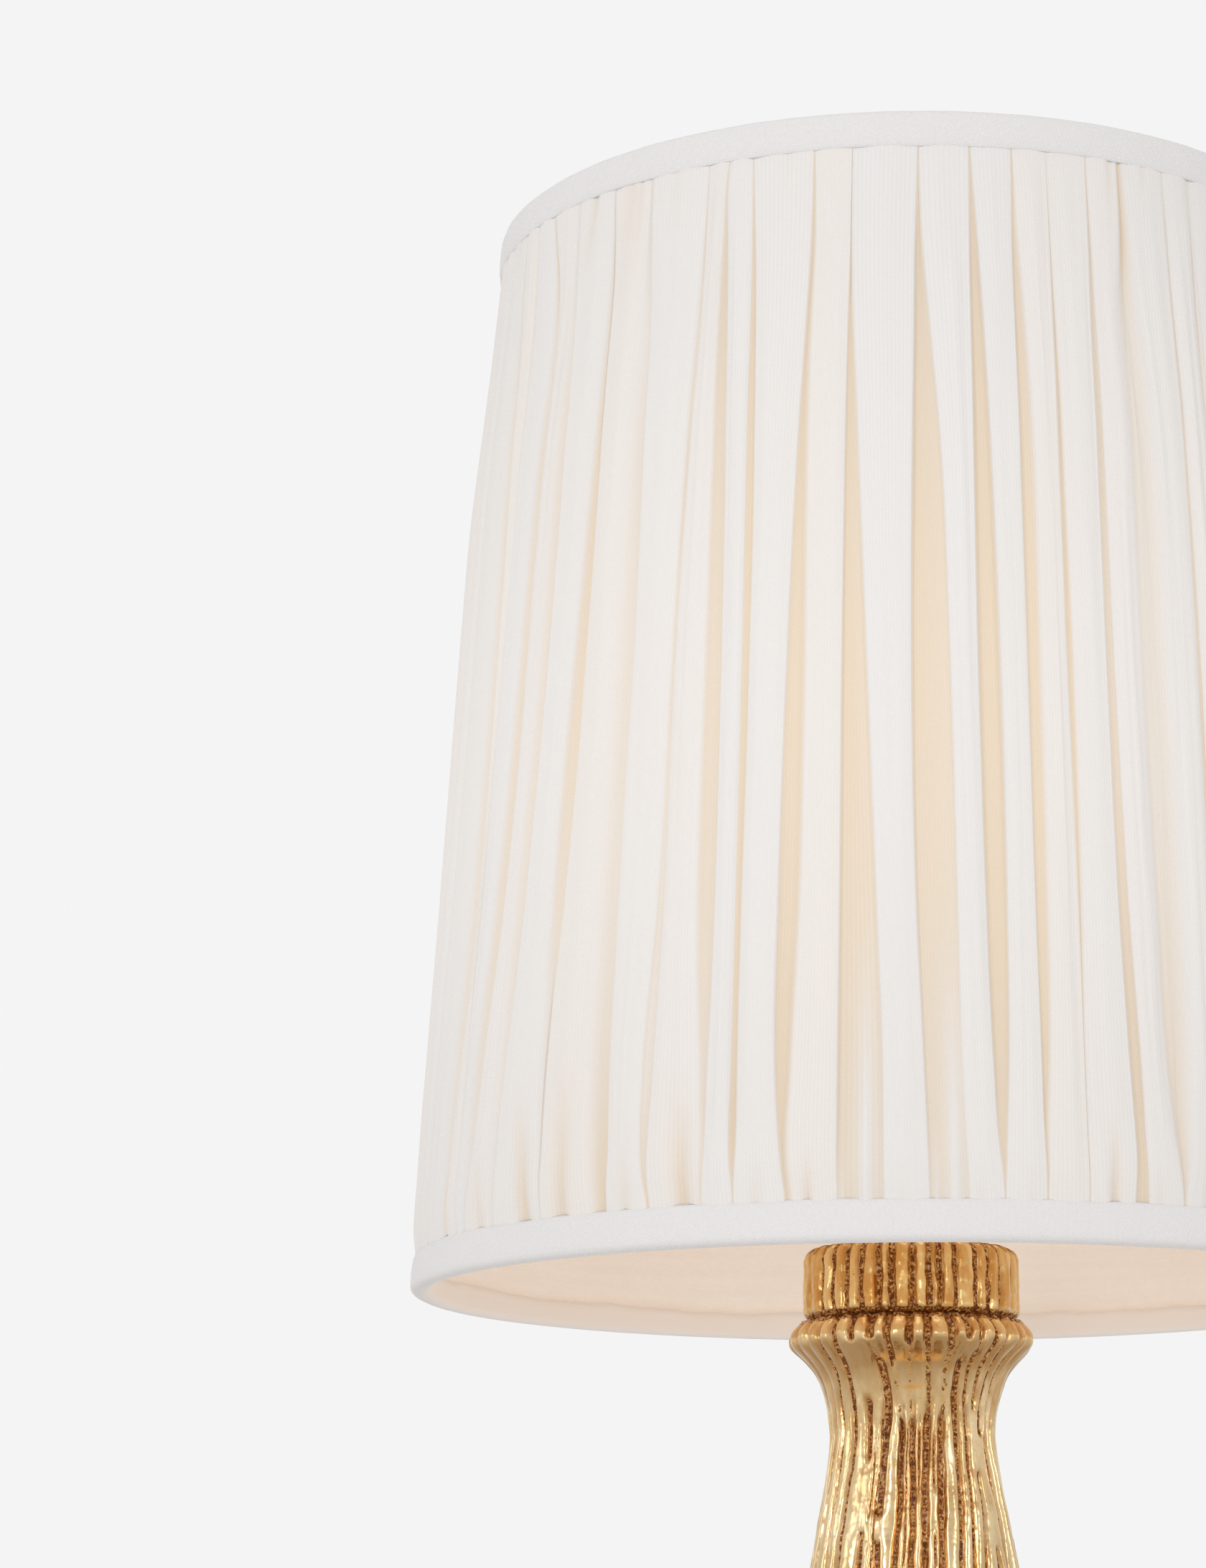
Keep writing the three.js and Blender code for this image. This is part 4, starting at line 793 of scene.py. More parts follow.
def buildCover(settings):
    # columns of points run round the shade: down each slot's left side, over its floor, up its right side
    # and over the fold beside it
    rng = np.random.default_rng(settings["seed"])
    firstAngle = frontSlots[0]["edges"][2, 1]
    lastAngle = frontSlots[-1]["edges"][2, 2]
    weights = rng.uniform(0.7, 1.35, settings["slotsBehind"] + 1)
    behind = lastAngle + np.cumsum(weights)[:-1] / weights.sum() * (firstAngle + 360 - lastAngle)
    slots = list(frontSlots) + [slotBehind(rng, middle) for middle in behind]
    count = len(slots)
    share = np.linspace(0, 1, settings["rows"])
    both, bottom = settings["crowding"]
    share = share - both * np.sin(2 * math.pi * share) - bottom * np.sin(math.pi * share)
    height = settings["low"] + (settings["high"] - settings["low"]) * share
    rows = height[:, None]
    fromTop = settings["topEdge"] - rows
    coneRadius = coneAt(rows)
    toMm = math.pi / 180 * coneRadius
    stand = throughPoints(np.array(settings["billow"], float), 1, height)[:, None]
    bottomReach, topReach = settings["tapeReach"]
    free = np.minimum(smoothstep(rows, *bottomReach), smoothstep(fromTop, *topReach))
    pinch = settings["pinch"] + (1 - settings["pinch"]) * free
    lift = rng.uniform(-settings["lift"], settings["lift"], count)
    tilt = rng.uniform(-settings["tilt"], settings["tilt"], count)
    lipWidth, lipAcross, lipRise = settings["lipWidth"], settings["lipAcross"], settings["lipRise"]
    closed, keptTint = settings["closedRelief"], settings["raisedTint"]
    columns = []

    def addColumn(angle, out, valley, warm):
        columns.append((angle, out, np.broadcast_to(valley, angle.shape), np.broadcast_to(warm, angle.shape)))

    def sides(entry):
        left, right, opened = (throughPoints(entry["edges"], i, height)[:, None] for i in (1, 2, 3))
        return left, np.maximum(right, left + 0.1), np.clip(opened, 0.05, 1.0)

    def wall(step, soft, fit, width):
        # one of the five steps down a slot's side: how far into the slot, in mm, and how far down
        if soft > 0:
            return soft * fit * step / 4, float(smoothstep(np.array(step / 4), 0, 1))
        return np.minimum(-lipWidth * lipAcross[step], 0.4 * width), 1 - lipRise[step]

    outlines = [sides(entry) for entry in slots]
    for k, entry in enumerate(slots):
        left, right, opened = outlines[k]
        softLeft, softRight = entry["soft"]
        width = (right - left) * toMm
        relief = np.minimum(settings["relief"] + settings["reliefPerWidth"] * width, settings["deepest"])
        relief = relief * pinch * (closed + (1 - closed) * opened)
        narrow = settings["narrowRelief"][0] + settings["narrowRelief"][1] * opened
        relief = relief * (narrow + (1 - narrow) * smoothstep(width, *settings["narrowWidths"]))
        lipReach = np.minimum(-lipWidth * lipAcross[-1], 0.4 * width)
        room = width - lipReach * entry["soft"].count(0.0)
        fit = np.minimum(1.0, settings["softMost"] * room / max(softLeft + softRight, 0.01))
        topLeft = stand + (lift[k - 1] - 0.5 * tilt[k - 1]) * free
        topRight = stand + (lift[k] + 0.5 * tilt[k]) * free
        warmLeft, warmRight = slots[k - 1]["warm"], entry["warm"]
        # the slot tone, partly painted shade, grows as each column falls below the folds and as the slot
        # opens
        for step in range(5):
            across, fall = wall(step, softLeft, fit, width)
            addColumn(left + across / toMm, topLeft - relief * fall, opened * fall, warmLeft)
        floorStart = left + (softLeft * fit if softLeft > 0 else lipReach) / toMm
        floorEnd = right - (softRight * fit if softRight > 0 else lipReach) / toMm
        inner = settings["wideFloor" if np.max(right - left) > settings["wideFrom"] else "narrowFloor"]
        for t in np.linspace(0, 1, inner + 2)[1:-1]:
            climb = 1 - entry["rise"] * t
            place = floorStart + (floorEnd - floorStart) * t
            floor = topLeft + (topRight - topLeft) * t - relief * climb
            addColumn(place, floor, opened * (keptTint + (1 - keptTint) * climb), warmRight)
        climb = 1 - entry["rise"]
        for step in range(4, -1, -1):
            across, fall = wall(step, softRight, fit, width)
            tinted = opened * fall * (keptTint + (1 - keptTint) * climb)
            addColumn(right - across / toMm, topRight - relief * fall * climb, tinted, warmRight)
        nextLeft = outlines[(k + 1) % count][0] + (360 if k == count - 1 else 0)
        nextTop = stand + (lift[k] - 0.5 * tilt[k]) * free
        start = right + (lipWidth if softRight == 0 else 0.0) / toMm
        end = nextLeft - (lipWidth if slots[(k + 1) % count]["soft"][0] == 0 else 0.0) / toMm
        steps = settings["foldColumns"][0 if k < len(frontSlots) else 1]
        for j in range(1, steps):
            t = j / steps
            crown = settings["crown"] * math.sin(math.pi * t) * pinch
            addColumn(start + (end - start) * t, topRight + (nextTop - topRight) * t + crown, 0.0, warmRight)
    angle, out, valley, warm = (np.concatenate([column[i] for column in columns], axis=1) for i in range(4))
    unseen = np.concatenate([behind, [firstAngle, lastAngle + 3]])
    onFold = 1 - np.clip(valley * 1.6, 0, 1)
    tuck = 0.0
    for known, rise, reach, number in zip(
        (bottomTucks, topTucks), (rows, fromTop), settings["tuckReach"], settings["tuckNumber"],
    ):
        tuck = tuck + tuckField(list(known) + scatteredTucks(rng, unseen, reach, number), angle, rise)
    tuck = tuck * onFold
    ridge = tuckField(innerFolds, angle, rows) * np.clip(valley * 1.3, 0, 1)
    out = out - np.minimum(tuck, 0.85 * stand + 0.1) + ridge
    # painted shade: where tucks sink the folds take the slot tone, and the low inner folds lose it where they
    # rise
    valley = np.clip(valley + tuck - 1.1 * ridge, 0, 1)

    def rippled(layers):
        return sum(lumpy(rng, out.shape, cells) * tall for cells, tall in layers)

    ripple = rippled(settings["ripples"])
    ripple = ripple + rippled(settings["foldRipples"]) * onFold
    out = out + ripple * (0.25 + 0.75 * free)
    points = roundAxis(coneRadius + out, np.radians(angle), rows + shadeSize["base"])
    middle = points[settings["rows"] // 2]
    around = runLength(np.concatenate([middle, middle[:1]]))
    up = runLength(points[:, 0])
    piece = gridPiece("pleatedVoile", points, voile, uvGrid(around, up), {"valley": valley, "warm": warm})
    settle(piece, "shade", "pleated_cover")
    # the flat size is measured round all the folds at middle height, and up between the tapes
    return piece, (float(around[-1]), float(up[-1]))


cover, coverFlat = buildCover(coverSettings)
print("pleated cover", len(cover.data.polygons), "faces, flat size", [round(v, 3) for v in coverFlat])

tapeSettings = {
    "outsideWidth": 7.3,  # mm
    "insideWidth": 5.0,
    "proud": 1.1,
    "inner": 2.35,  # mm inside the cone
    "thickness": 0.7,
    "segments": 420,
    "swell": 0.09,
    "outsideWave": 0.12,
    "insideWaves": (0.32, 0.3),
}


def buildTape(name, node, atTop, seed, settings):
    rng = np.random.default_rng(seed)
    segments, proud, thick, inner = (settings[key] for key in ("segments", "proud", "thickness", "inner"))
    # outline of the folded tape: offset from the cone, distance from the edge
    outside = [
        (proud - 0.65, settings["outsideWidth"]), (proud - 0.3, 6.9), (proud - 0.05, 6.1),
        (proud + 0.05, 4.8), (proud + 0.1, 3.6), (proud + 0.1, 2.2),
    ]
    bend = np.linspace(0, 1, 9)
    roll = np.stack([
        (proud - inner - thick) / 2 + 0.05 + (proud + inner + thick) / 2 * np.cos(math.pi * bend),
        1.35 - 1.35 * np.sin(math.pi * bend),
    ], axis=1)
    inside = [
        (-inner - thick, 2.2), (-inner - thick + 0.15, 3.6), (-inner - thick + 0.3, settings["insideWidth"]),
    ]
    back = [
        (0.35 - inner, settings["insideWidth"]), (0.1 - inner, 3.0), (-1.4, 1.4), (0.2, 1.4),
        (proud - thick, 3.2),
    ]
    last = [(proud - thick, settings["outsideWidth"] - 0.1)]
    outline = np.concatenate([outside, roll, inside, back, last])
    turned = np.concatenate([
        np.zeros(len(outside)), smoothstep(bend, 0.35, 0.9), np.ones(len(inside) + len(back)), [0.0],
    ])
    angle = np.linspace(0, 2 * math.pi, segments, endpoint=False)
    depth = np.repeat(outline[:, 1:], segments, axis=1)

    def wave(cells, tall):
        return lumpy(rng, (2, segments), (1, cells))[0] * tall

    insideFrom = len(outside) + len(bend) + 1
    close, broad = settings["insideWaves"]
    depth[insideFrom:insideFrom + 3] += wave(110, close) + wave(37, broad)
    depth[[0, -1]] += wave(90, settings["outsideWave"])
    offset = outline[:, :1] + lumpy(rng, depth.shape, (3, 150)) * settings["swell"]
    height = shadeSize["height"] - depth if atTop else depth
    points = roundAxis(coneAt(height) + offset, angle[None, :], height + shadeSize["base"])
    if not atTop:
        points = points[::-1]
        turned = turned[::-1]
    around = np.concatenate([angle, [2 * math.pi]]) * coneAt(shadeSize["height"] if atTop else 0.0) * mm
    run = runLength(np.concatenate([points[:, 0], points[:1, 0]]))
    masks = {"turnedIn": np.repeat(turned[:, None], segments, axis=1)}
    piece = gridPiece(name, points, tape, uvGrid(around, run), masks, closeRows=True)
    return settle(piece, "shade", node)


bottomTape = buildTape("bottomBiasTape", "bottom_trim", False, 5, tapeSettings)
topTape = buildTape("topBiasTape", "top_trim", True, 6, tapeSettings)
print("edge tapes")

liningSettings = {
    "seed": 9,
    "inside": 1.5,  # mm inside the cone
    "ripple": 0.12,
    "low": 3.6,  # mm above the shade's bottom edge
    "middle": 101.0,
    "high": 198.8,
    "weaveAt": 100.0,  # the height at which the weave has its full width
    "segments": 240,
    "rows": 24,
}


def buildLining(settings):
    rng = np.random.default_rng(settings["seed"])
    rows, segments = settings["rows"], settings["segments"]
    angle = np.linspace(0, 2 * math.pi, segments, endpoint=False)[None, :]
    height = np.linspace(settings["low"], settings["high"], rows)
    ripple = lumpy(rng, (rows, segments), (5, 48)) * settings["ripple"]
    radius = coneAt(height[:, None]) - settings["inside"] + ripple
    points = roundAxis(radius, angle, height[:, None] + shadeSize["base"])
    around = np.linspace(0, 2 * math.pi * coneAt(settings["weaveAt"]) * mm, segments + 1)
    piece = gridPiece("shadeLining", points, lining, uvGrid(around, height * mm))
    settle(piece, "shade", "shade_liner")


buildLining(liningSettings)
print("lining")

# gilt castings
reedSettings = {
    "columns": 720,
    "shoulder": 0.42,  # mm, over which a reed rounds down into a groove
    "fullReed": 2.6,  # mm, the width at which a reed is fully crowned
    "crown": 0.5,  # share of the depth that a reed's crown takes
    "painted": 0.72,  # share of a groove's width that stays dark
    "flankReach": 0.75,  # mm beside a groove over which the brown thins out
    "thin": 0.6,  # mm, the width up to which a groove is only a scratch, with no reed beside it
}


def groove(angles, width, *gaps):
    # angles in degrees at the heights below, width in mm, and stretches where it fades:
    # height, half length, how far
    return {"angles": angles, "width": width, "gaps": gaps}


# read on the collar's front: angle, width
collarGrooves = (
    (-79.0, 0.9), (-70.3, 0.9), (-56.6, 1.2), (-46.8, 1.25), (-37.0, 1.35), (-28.0, 1.3), (-17.2, 1.3),
    (-9.8, 1.5), (1.3, 1.5), (10.1, 1.2), (15.2, 1.5), (24.5, 1.0), (37.9, 1.3), (46.7, 1.5), (55.8, 1.1),
    (70.1, 1.0), (80.0, 0.9),
)

grooveHeights = (-50.0, -38.0, -26.0, -20.0, -9.0)  # mm from the shade's bottom edge
frontGrooves = (
    groove((-82.0, -80.0, -78.0, -78.0, -73.0), 0.9),
    groove((-72.0, -70.7, -66.4, -66.7, -61.4), 1.0),
    groove((-58.3, -59.7, -57.2, -56.0, -50.2), 1.1),
    groove((-47.5, -47.3, -44.9, -44.0, -40.8), 1.3),
    groove((-33.1, -32.2, -31.4, -31.1, -30.5), 1.3, (-14.5, 4.0, 1.0), (-37.0, 5.5, 0.9)),
    groove((-22.1, -21.4, -19.1, -17.0, -19.7), 1.7, (-10.6, 0.8, 0.8), (-43.0, 1.2, 0.9)),
    groove((-11.0, -8.5, -7.5, -10.0, -11.7), 1.2, (-18.5, 4.0, 0.65)),
    groove((-2.0, -0.2, -1.0, -1.0, -1.2), 1.1, (-17.0, 5.5, 0.65)),
    groove((5.3, 6.7, 9.7, 11.8, 7.6), 1.4, (-16.5, 5.0, 0.5)),
    groove((15.6, 18.1, 19.6, 20.5, 19.8), 1.7, (-16.8, 5.0, 0.6)),
    groove((27.4, 30.7, 32.0, 29.7, 28.0), 1.2, (-9.5, 2.0, 1.0)),
    groove((35.1, 38.6, 40.3, 36.8, 35.5), 1.1, (-9.5, 1.2, 0.6)),
    groove((44.0, 48.1, 46.0, 44.7, 44.7), 1.1, (-27.0, 4.5, 1.0)),
    groove((53.9, 54.0, 54.0, 52.5, 52.0), 1.1, (-36.0, 9.0, 1.0)),
    groove((62.4, 63.8, 60.0, 60.2, 62.4), 1.0),
    groove((73.2, 72.0, 70.0, 70.0, 71.0), 1.0),
    groove((-24.6, -23.8, -21.6, -19.6, -21.0), 0.4, (-12.0, 10.0, 1.0)),
    groove((1.6, 3.1, 4.6, 4.6, 4.6), 0.35, (-12.0, 12.0, 1.0), (-46.0, 8.0, 1.0)),
    groove((-6.4, -4.5, -4.1, -4.0, -4.0), 0.35, (-12.0, 12.0, 1.0)),
    groove((11.2, 12.8, 14.2, 14.0, 14.0), 0.45, (-12.0, 13.0, 1.0), (-40.0, 3.0, 1.0)),
    groove((-28.4, -27.6, -26.0, -26.0, -26.0), 0.3, (-14.0, 14.0, 1.0), (-48.0, 6.0, 1.0)),
)

# the column's outline: mm below the shade's bottom edge, and radius
columnOutline = (
    (-191.2, 44.0), (-189.6, 46.0), (-187.6, 47.2), (-185.6, 47.4), (-183.6, 46.7), (-182.4, 44.6),
    (-181.0, 42.8), (-177.0, 41.2), (-171.0, 38.9), (-165.2, 37.4), (-150.0, 34.6), (-133.2, 31.7),
    (-110.0, 28.1), (-80.0, 23.45), (-60.0, 20.7), (-48.0, 18.85), (-44.0, 18.15), (-40.0, 17.45),
    (-36.0, 16.6), (-30.0, 15.6), (-26.0, 15.15), (-24.0, 15.15), (-22.0, 15.35), (-20.0, 15.75),
    (-18.0, 16.3), (-16.0, 16.95), (-14.0, 17.9), (-12.0, 19.6), (-10.0, 21.8), (-9.0, 22.4),
    (-8.0, 22.55), (-7.0, 22.3), (-6.0, 21.5), (-5.2, 20.7), (-4.7, 20.0),
)


def softNoise(rng, height, wavelength):
    low, high = height.min(), height.max()
    knots = max(int((high - low) / wavelength) + 2, 3)
    return np.interp(height, np.linspace(low, high, knots), rng.uniform(-1, 1, knots))


def reededSurface(rng, tracks, height, radius, depth, settings):
    # the radius, the groove mask and the darker brown beside it, over a grid of rows (height) and columns
    # (angle)
    theta = np.linspace(-math.pi, math.pi, settings["columns"], endpoint=False)[None, :]
    shape = (len(height), settings["columns"])
    trench, mask, flank = np.zeros(shape), np.zeros(shape), np.zeros(shape)
    fromLeft, fromRight = np.full(shape, 9.0), np.full(shape, 9.0)
    for path, width, strength in tracks:
        offset = (theta - np.radians(path)[:, None] + math.pi) % (2 * math.pi) - math.pi
        wander = softNoise(rng, height, 5.0) * 0.16 + softNoise(rng, height, 1.8) * 0.07
        uneven = 1 + 0.25 * softNoise(rng, height, 6.0) + 0.18 * softNoise(rng, height, 1.6)
        half = (0.5 * np.asarray(width) * uneven)[:, None]
        side = offset * radius[:, None] + wander[:, None]
        away = np.abs(side)
        share = strength[:, None]
        soft = min(settings["shoulder"], 0.8 * float(np.min(width)))
        trench = np.maximum(trench, share * (1 - smoothstep(away, half - 0.5 * soft, half + soft)))
        if np.max(width) > settings["thin"]:
            reach = np.maximum(away - 0.5 * half, 0) + 3.0 * (1 - share)
            fromLeft = np.where(side >= 0, np.minimum(fromLeft, reach), fromLeft)
            fromRight = np.where(side < 0, np.minimum(fromRight, reach), fromRight)
        flank = np.maximum(flank, share * (1 - smoothstep(away, 0.4 * half, half + settings["flankReach"])))
        painted = settings["painted"] * half
        mask = np.maximum(mask, share * (1 - smoothstep(away, painted - 0.2, painted + 0.22)))
    wide = np.maximum(fromLeft + fromRight, 0.05)
    across = fromLeft / wide
    crown = (1 - 4 * across * (1 - across)) * np.clip(wide / settings["fullReed"], 0, 1.2)
    fall = (1 - settings["crown"]) * trench + settings["crown"] * crown
    return theta, radius[:, None] - depth[:, None] * fall, np.clip(mask, 0, 1), np.clip(flank, 0, 1)


def hammered(rng, shape, height, radius, layers):
    # dents and lumps: how long they are, how wide, how deep, mm
    total = np.zeros(shape)
    span = height[-1] - height[0]
    around = 2 * math.pi * float(np.mean(radius))
    rows = np.linspace(height[0], height[-1], shape[0] * 2)
    place = np.interp(height, rows, np.arange(len(rows)))
    low = np.minimum(place.astype(int), len(rows) - 2)
    share = (place - low)[:, None]
    for tall, wide, depth in layers:
        even = lumpy(rng, (len(rows), shape[1]), (max(int(span / tall), 1), int(around / wide)))
        total = total + depth * (even[low] * (1 - share) + even[low + 1] * share)
    return total


def castPiece(name, node, body, theta, radius, height, masks, hollow, opening=None):
    # hollow: the inside's outline, radius and height, from the bottom up
    inside = np.array(hollow, float)[::-1]
    radius = np.concatenate([np.repeat(inside[:, :1], radius.shape[1], axis=1), radius])
    points = roundAxis(radius, theta, np.concatenate([inside[:, 1], height])[:, None])
    plain = np.zeros((len(inside), theta.shape[1]))
    masks = {label: np.concatenate([plain, mask]) for label, mask in masks.items()}
    gone = opening(points) if opening else None
    piece = gridPiece(name, points, gilt, None, masks, closeRows=True, gone=gone)
    return settle(piece, body, node)


def castReeded(name, node, rng, tracks, height, radius, settings, opening=None):
    # a reeded casting: its grooves cut, its surface hammered, its crevices and stains marked,
    # and its inside closed
    depth = np.interp(height, *np.array(settings["depths"]).T)
    theta, surface, mask, flank = reededSurface(rng, tracks, height, radius, depth, reedSettings)
    for middle, reach, layers in settings.get("knuckles", ()):
        swelling = hammered(rng, surface.shape, height, radius, layers)
        surface = surface + bell(height, middle, reach)[:, None] * swelling
    surface = surface + hammered(rng, surface.shape, height, radius, settings["dents"])
    masks = {"groove": np.maximum(mask, smoothstep(height, *settings["dark"])[:, None]), "flank": flank}
    front = np.degrees(theta)
    for label, middle, reach, power, side, full, none in settings.get("stains", ()):
        aside = smoothstep(np.abs(front - side), full, none)
        stain = bell(height, middle, reach, power)[:, None] * (1 - aside)
        masks[label] = np.maximum(masks.get(label, 0.0), stain)
    height = height + settings["base"]
    hollow = settings.get("hollow") or [(settings["bore"], end) for end in (height[0], height[-1])]
    return castPiece(name, node, "base", theta, surface, height, masks, hollow, opening)


columnSettings = {
    "seed": 31,
    "base": shadeSize["base"],  # the heights below are from the shade's bottom edge, mm
    "rowsUpTo": ((-177, 12), (-56, 34), (-15, 60)),  # rows of points up to a height, closer near the neck
    "rowsAtTop": 30,
    "outlineBlur": 0.5,
    # height and depth of the grooves, mm
    "depths": ((-181, 1.5), (-133, 1.4), (-48, 1.0), (-24, 0.85), (-14, 0.75), (-9.5, 1.0), (-6, 1.25)),
    "ring": (-9.9, -8.8),  # heights between which the grooves come up on to the ring
    "narrowing": ((-30.0, -12.0), (0.72, 1.0)),  # heights, and the share of a groove's width there
    "groovesBehind": 21,
    "behind": (82, 268),  # degrees
    "behindWidths": (0.9, 1.6),  # mm
    "fineWidths": (0.35, 1.0),  # of the thin grooves that come in low down, where the reeds grow wider
    "fineBelow": (-135, -62),
    "knuckles": ((-9.0, 2.2, ((4.0, 3.4, 0.38),)),),  # on the ring: height, half height, lumps
    "dents": ((9.0, 4.2, 0.16), (3.6, 1.9, 0.09), (1.6, 1.2, 0.06)),
    "dark": (-5.9, -5.0),  # heights between which the surface turns all brown
    # in front: height, half height, sharpness, middle in degrees, and where it begins and ends fading
    "stains": (
        ("smear", -12.6, 0.75, 4, -1, 15, 19), ("smear", -17.6, 0.35, 2, 0, 4, 8),
        ("tarnish", -22.2, 1.7, 4, 2, 6, 12),
    ),
    "bore": 7.3,
}


def buildColumn(settings):
    rng = np.random.default_rng(settings["seed"])
    places, outline = np.array(columnOutline, float).T
    runs = []
    start = places[0]
    for end, count in settings["rowsUpTo"]:
        runs.append(np.linspace(start, end, count, endpoint=False))
        start = end
    height = np.concatenate([*runs, np.linspace(start, places[-1], settings["rowsAtTop"])])
    radius = softCurve(places, outline, height, settings["outlineBlur"])
    onRing = smoothstep(height, *settings["ring"])
    narrowing = np.interp(height, *settings["narrowing"])
    tracks = []
    for entry in frontGrooves:
        strength = np.ones(len(height))
        for middle, half, share in entry["gaps"]:
            strength = strength * (1 - share * (1 - smoothstep(np.abs(height - middle), half, half + 2.0)))
        if entry["width"] > reedSettings["thin"]:
            strength = np.maximum(strength, onRing)
        path = np.interp(height, grooveHeights, entry["angles"])
        tracks.append((path, entry["width"] * narrowing, strength))
    number = settings["groovesBehind"]
    for angle in np.linspace(*settings["behind"], number) + rng.uniform(-2.2, 2.2, number):
        drift = np.interp(height, grooveHeights, rng.uniform(-2.5, 2.5, 5))
        strength = np.ones(len(height))
        gaps = ((rng.uniform(-45, -12), rng.uniform(0, 5)), (rng.uniform(-110, -60), rng.uniform(0, 6)))
        for middle, half in gaps:
            strength = strength * (1 - smoothstep(2.0 - np.abs(height - middle) + half, 0, 2.0))
        width = rng.uniform(*settings["behindWidths"])
        tracks.append((angle + drift, width, np.maximum(strength, onRing)))
    for angle in np.arange(-180, 180, 10) + rng.uniform(-2, 2, 36):
        start = rng.uniform(*settings["fineBelow"])
        strength = 1 - smoothstep(height, start - 6, start + 4)
        strength = strength * (1 - smoothstep(-181.5 - height, -2.0, 0.0) * 0.6)
        width = rng.uniform(*settings["fineWidths"])
        tracks.append((np.full(len(height), angle + 5.0), width, strength))
    return castReeded("reededColumn", "body_casting", rng, tracks, height, radius, settings)


collarSettings = {
    "seed": 32,
    "base": shadeSize["base"],
    "rows": (
        -4.4, -4.2, -3.8, -3.3, *np.linspace(-2.8, 6.4, 26), 6.9, 7.4, 7.8, 8.1, 8.3, 8.45, 8.6,
    ),
    # height and radius, mm
    "outline": ((-4.4, 18.7), (-3.9, 19.4), (-3.2, 19.9), (6.4, 19.8), (7.5, 19.4), (8.2, 18.8), (8.6, 17.9)),
    "depths": ((-4.4, 0.5), (-3.0, 1.0), (7.0, 1.0), (8.6, 0.7)),
    "groovesBehind": 19,
    "behind": (90, 270),  # degrees
    "behindWidths": (0.9, 1.5),  # mm
    "dents": ((5.0, 3.4, 0.1), (1.9, 2.0, 0.1), (1.3, 1.2, 0.09)),
    "dark": (-3.1, -4.1),
    "bore": 5.2,
}


def buildCollar(settings):
    rng = np.random.default_rng(settings["seed"])
    height = np.array(settings["rows"])
    radius = np.interp(height, *np.array(settings["outline"]).T)
    number = settings["groovesBehind"]
    behind = np.linspace(*settings["behind"], number) + rng.uniform(-2, 2, number)
    widths = rng.uniform(*settings["behindWidths"], number)
    tracks = []
    for angle, width in [*collarGrooves, *zip(behind, widths)]:
        strength = 1 - 0.25 * np.abs(softNoise(rng, height, 4.0))
        tracks.append((np.full(len(height), angle) + softNoise(rng, height, 5.0) * 0.7, width, strength))
    return castReeded("reededCollar", "reeded_collar", rng, tracks, height, radius, settings)


footSettings = {
    "seed": 33,
    "base": 0.0,  # mm, added to the heights below
    # height above the table and radius, mm
    "outline": (
        (2.0, 56.3), (2.4, 57.1), (3.4, 57.9), (5.0, 58.0), (20.0, 58.0), (21.8, 57.8), (23.2, 57.0),
        (24.2, 55.8), (25.2, 53.8), (26.6, 51.2), (28.2, 49.3), (30.5, 47.7), (33.5, 46.3), (36.5, 45.5),
    ),
    "outlineBlur": 0.35,
    "rows": (
        2.0, 2.2, 2.5, 2.9, 3.4, *np.linspace(4.0, 6.68, 4), *np.linspace(6.72, 20.28, 18),
        *np.linspace(20.32, 28.0, 14), *np.linspace(28.8, 36.0, 10), 36.3, 36.5,
    ),
    "depths": ((2.0, 1.0), (3.4, 1.2), (24.0, 1.2), (26.6, 0.55), (30.0, 0.1)),
    "hollow": (
        (53.4, 2.0), (53.4, 6.68), (53.4, 6.72), (53.4, 20.28), (53.4, 20.32), (53.4, 21.0), (46.0, 27.0),
        (43.5, 33.0), (5.2, 33.0), (5.2, 36.5),
    ),
    "reeds": 42,
    "sway": (0.16, 13),  # how far the grooves stray from even spacing, and how often that comes round
    "grooveWidths": (1.0, 1.6),  # mm
    "fading": (25.5, 30.0),  # heights between which the grooves run out
    "dents": ((9.0, 4.2, 0.14), (3.2, 2.1, 0.09), (1.5, 1.3, 0.07)),
    "dark": (35.9, 36.4),
    "windowHalf": 13.3,  # mm, half the width of the panel's opening
    "windowFrom": 6.7,
    "windowTo": 20.3,
    "windowSnap": (0.5, 0.45),  # mm inside and outside the window's edge that move onto it
    "windowLip": 0.02,
    "wallInside": 51.6,  # mm behind the axis, where the window's edges end
    "postCircle": 47.38,  # the posts that the cover's screws go into
    "postRadius": 4.0,
    "postTaper": 0.96,
    "postSides": 28,
    "postFrom": 5.1,
    "postTo": 21.0,
    "ribWidth": 3.0,
    "ribBite": 0.6,  # mm that a rib runs into the wall
    "postAngles": (30, 150, 210, 330),
}


def openWindow(points):
    # the panel's opening at the back: its edges turn in through the wall, what lies between them is left out
    half = footSettings["windowHalf"]
    snapIn, snapOut = footSettings["windowSnap"]
    across = np.abs(points[..., 0])
    side = np.sign(points[..., 0])
    rows = (points[..., 2] > footSettings["windowFrom"]) & (points[..., 2] < footSettings["windowTo"])
    behind = rows & (points[..., 1] > 0)
    inside = behind & (across < half)
    edge = behind & ~inside & (across < half + snapOut)
    points[..., 0] = np.where(edge, side * (half + footSettings["windowLip"]), points[..., 0])
    points[..., 0] = np.where(inside & (across > half - snapIn), side * half, points[..., 0])
    points[..., 1] = np.where(inside, footSettings["wallInside"], points[..., 1])
    return inside


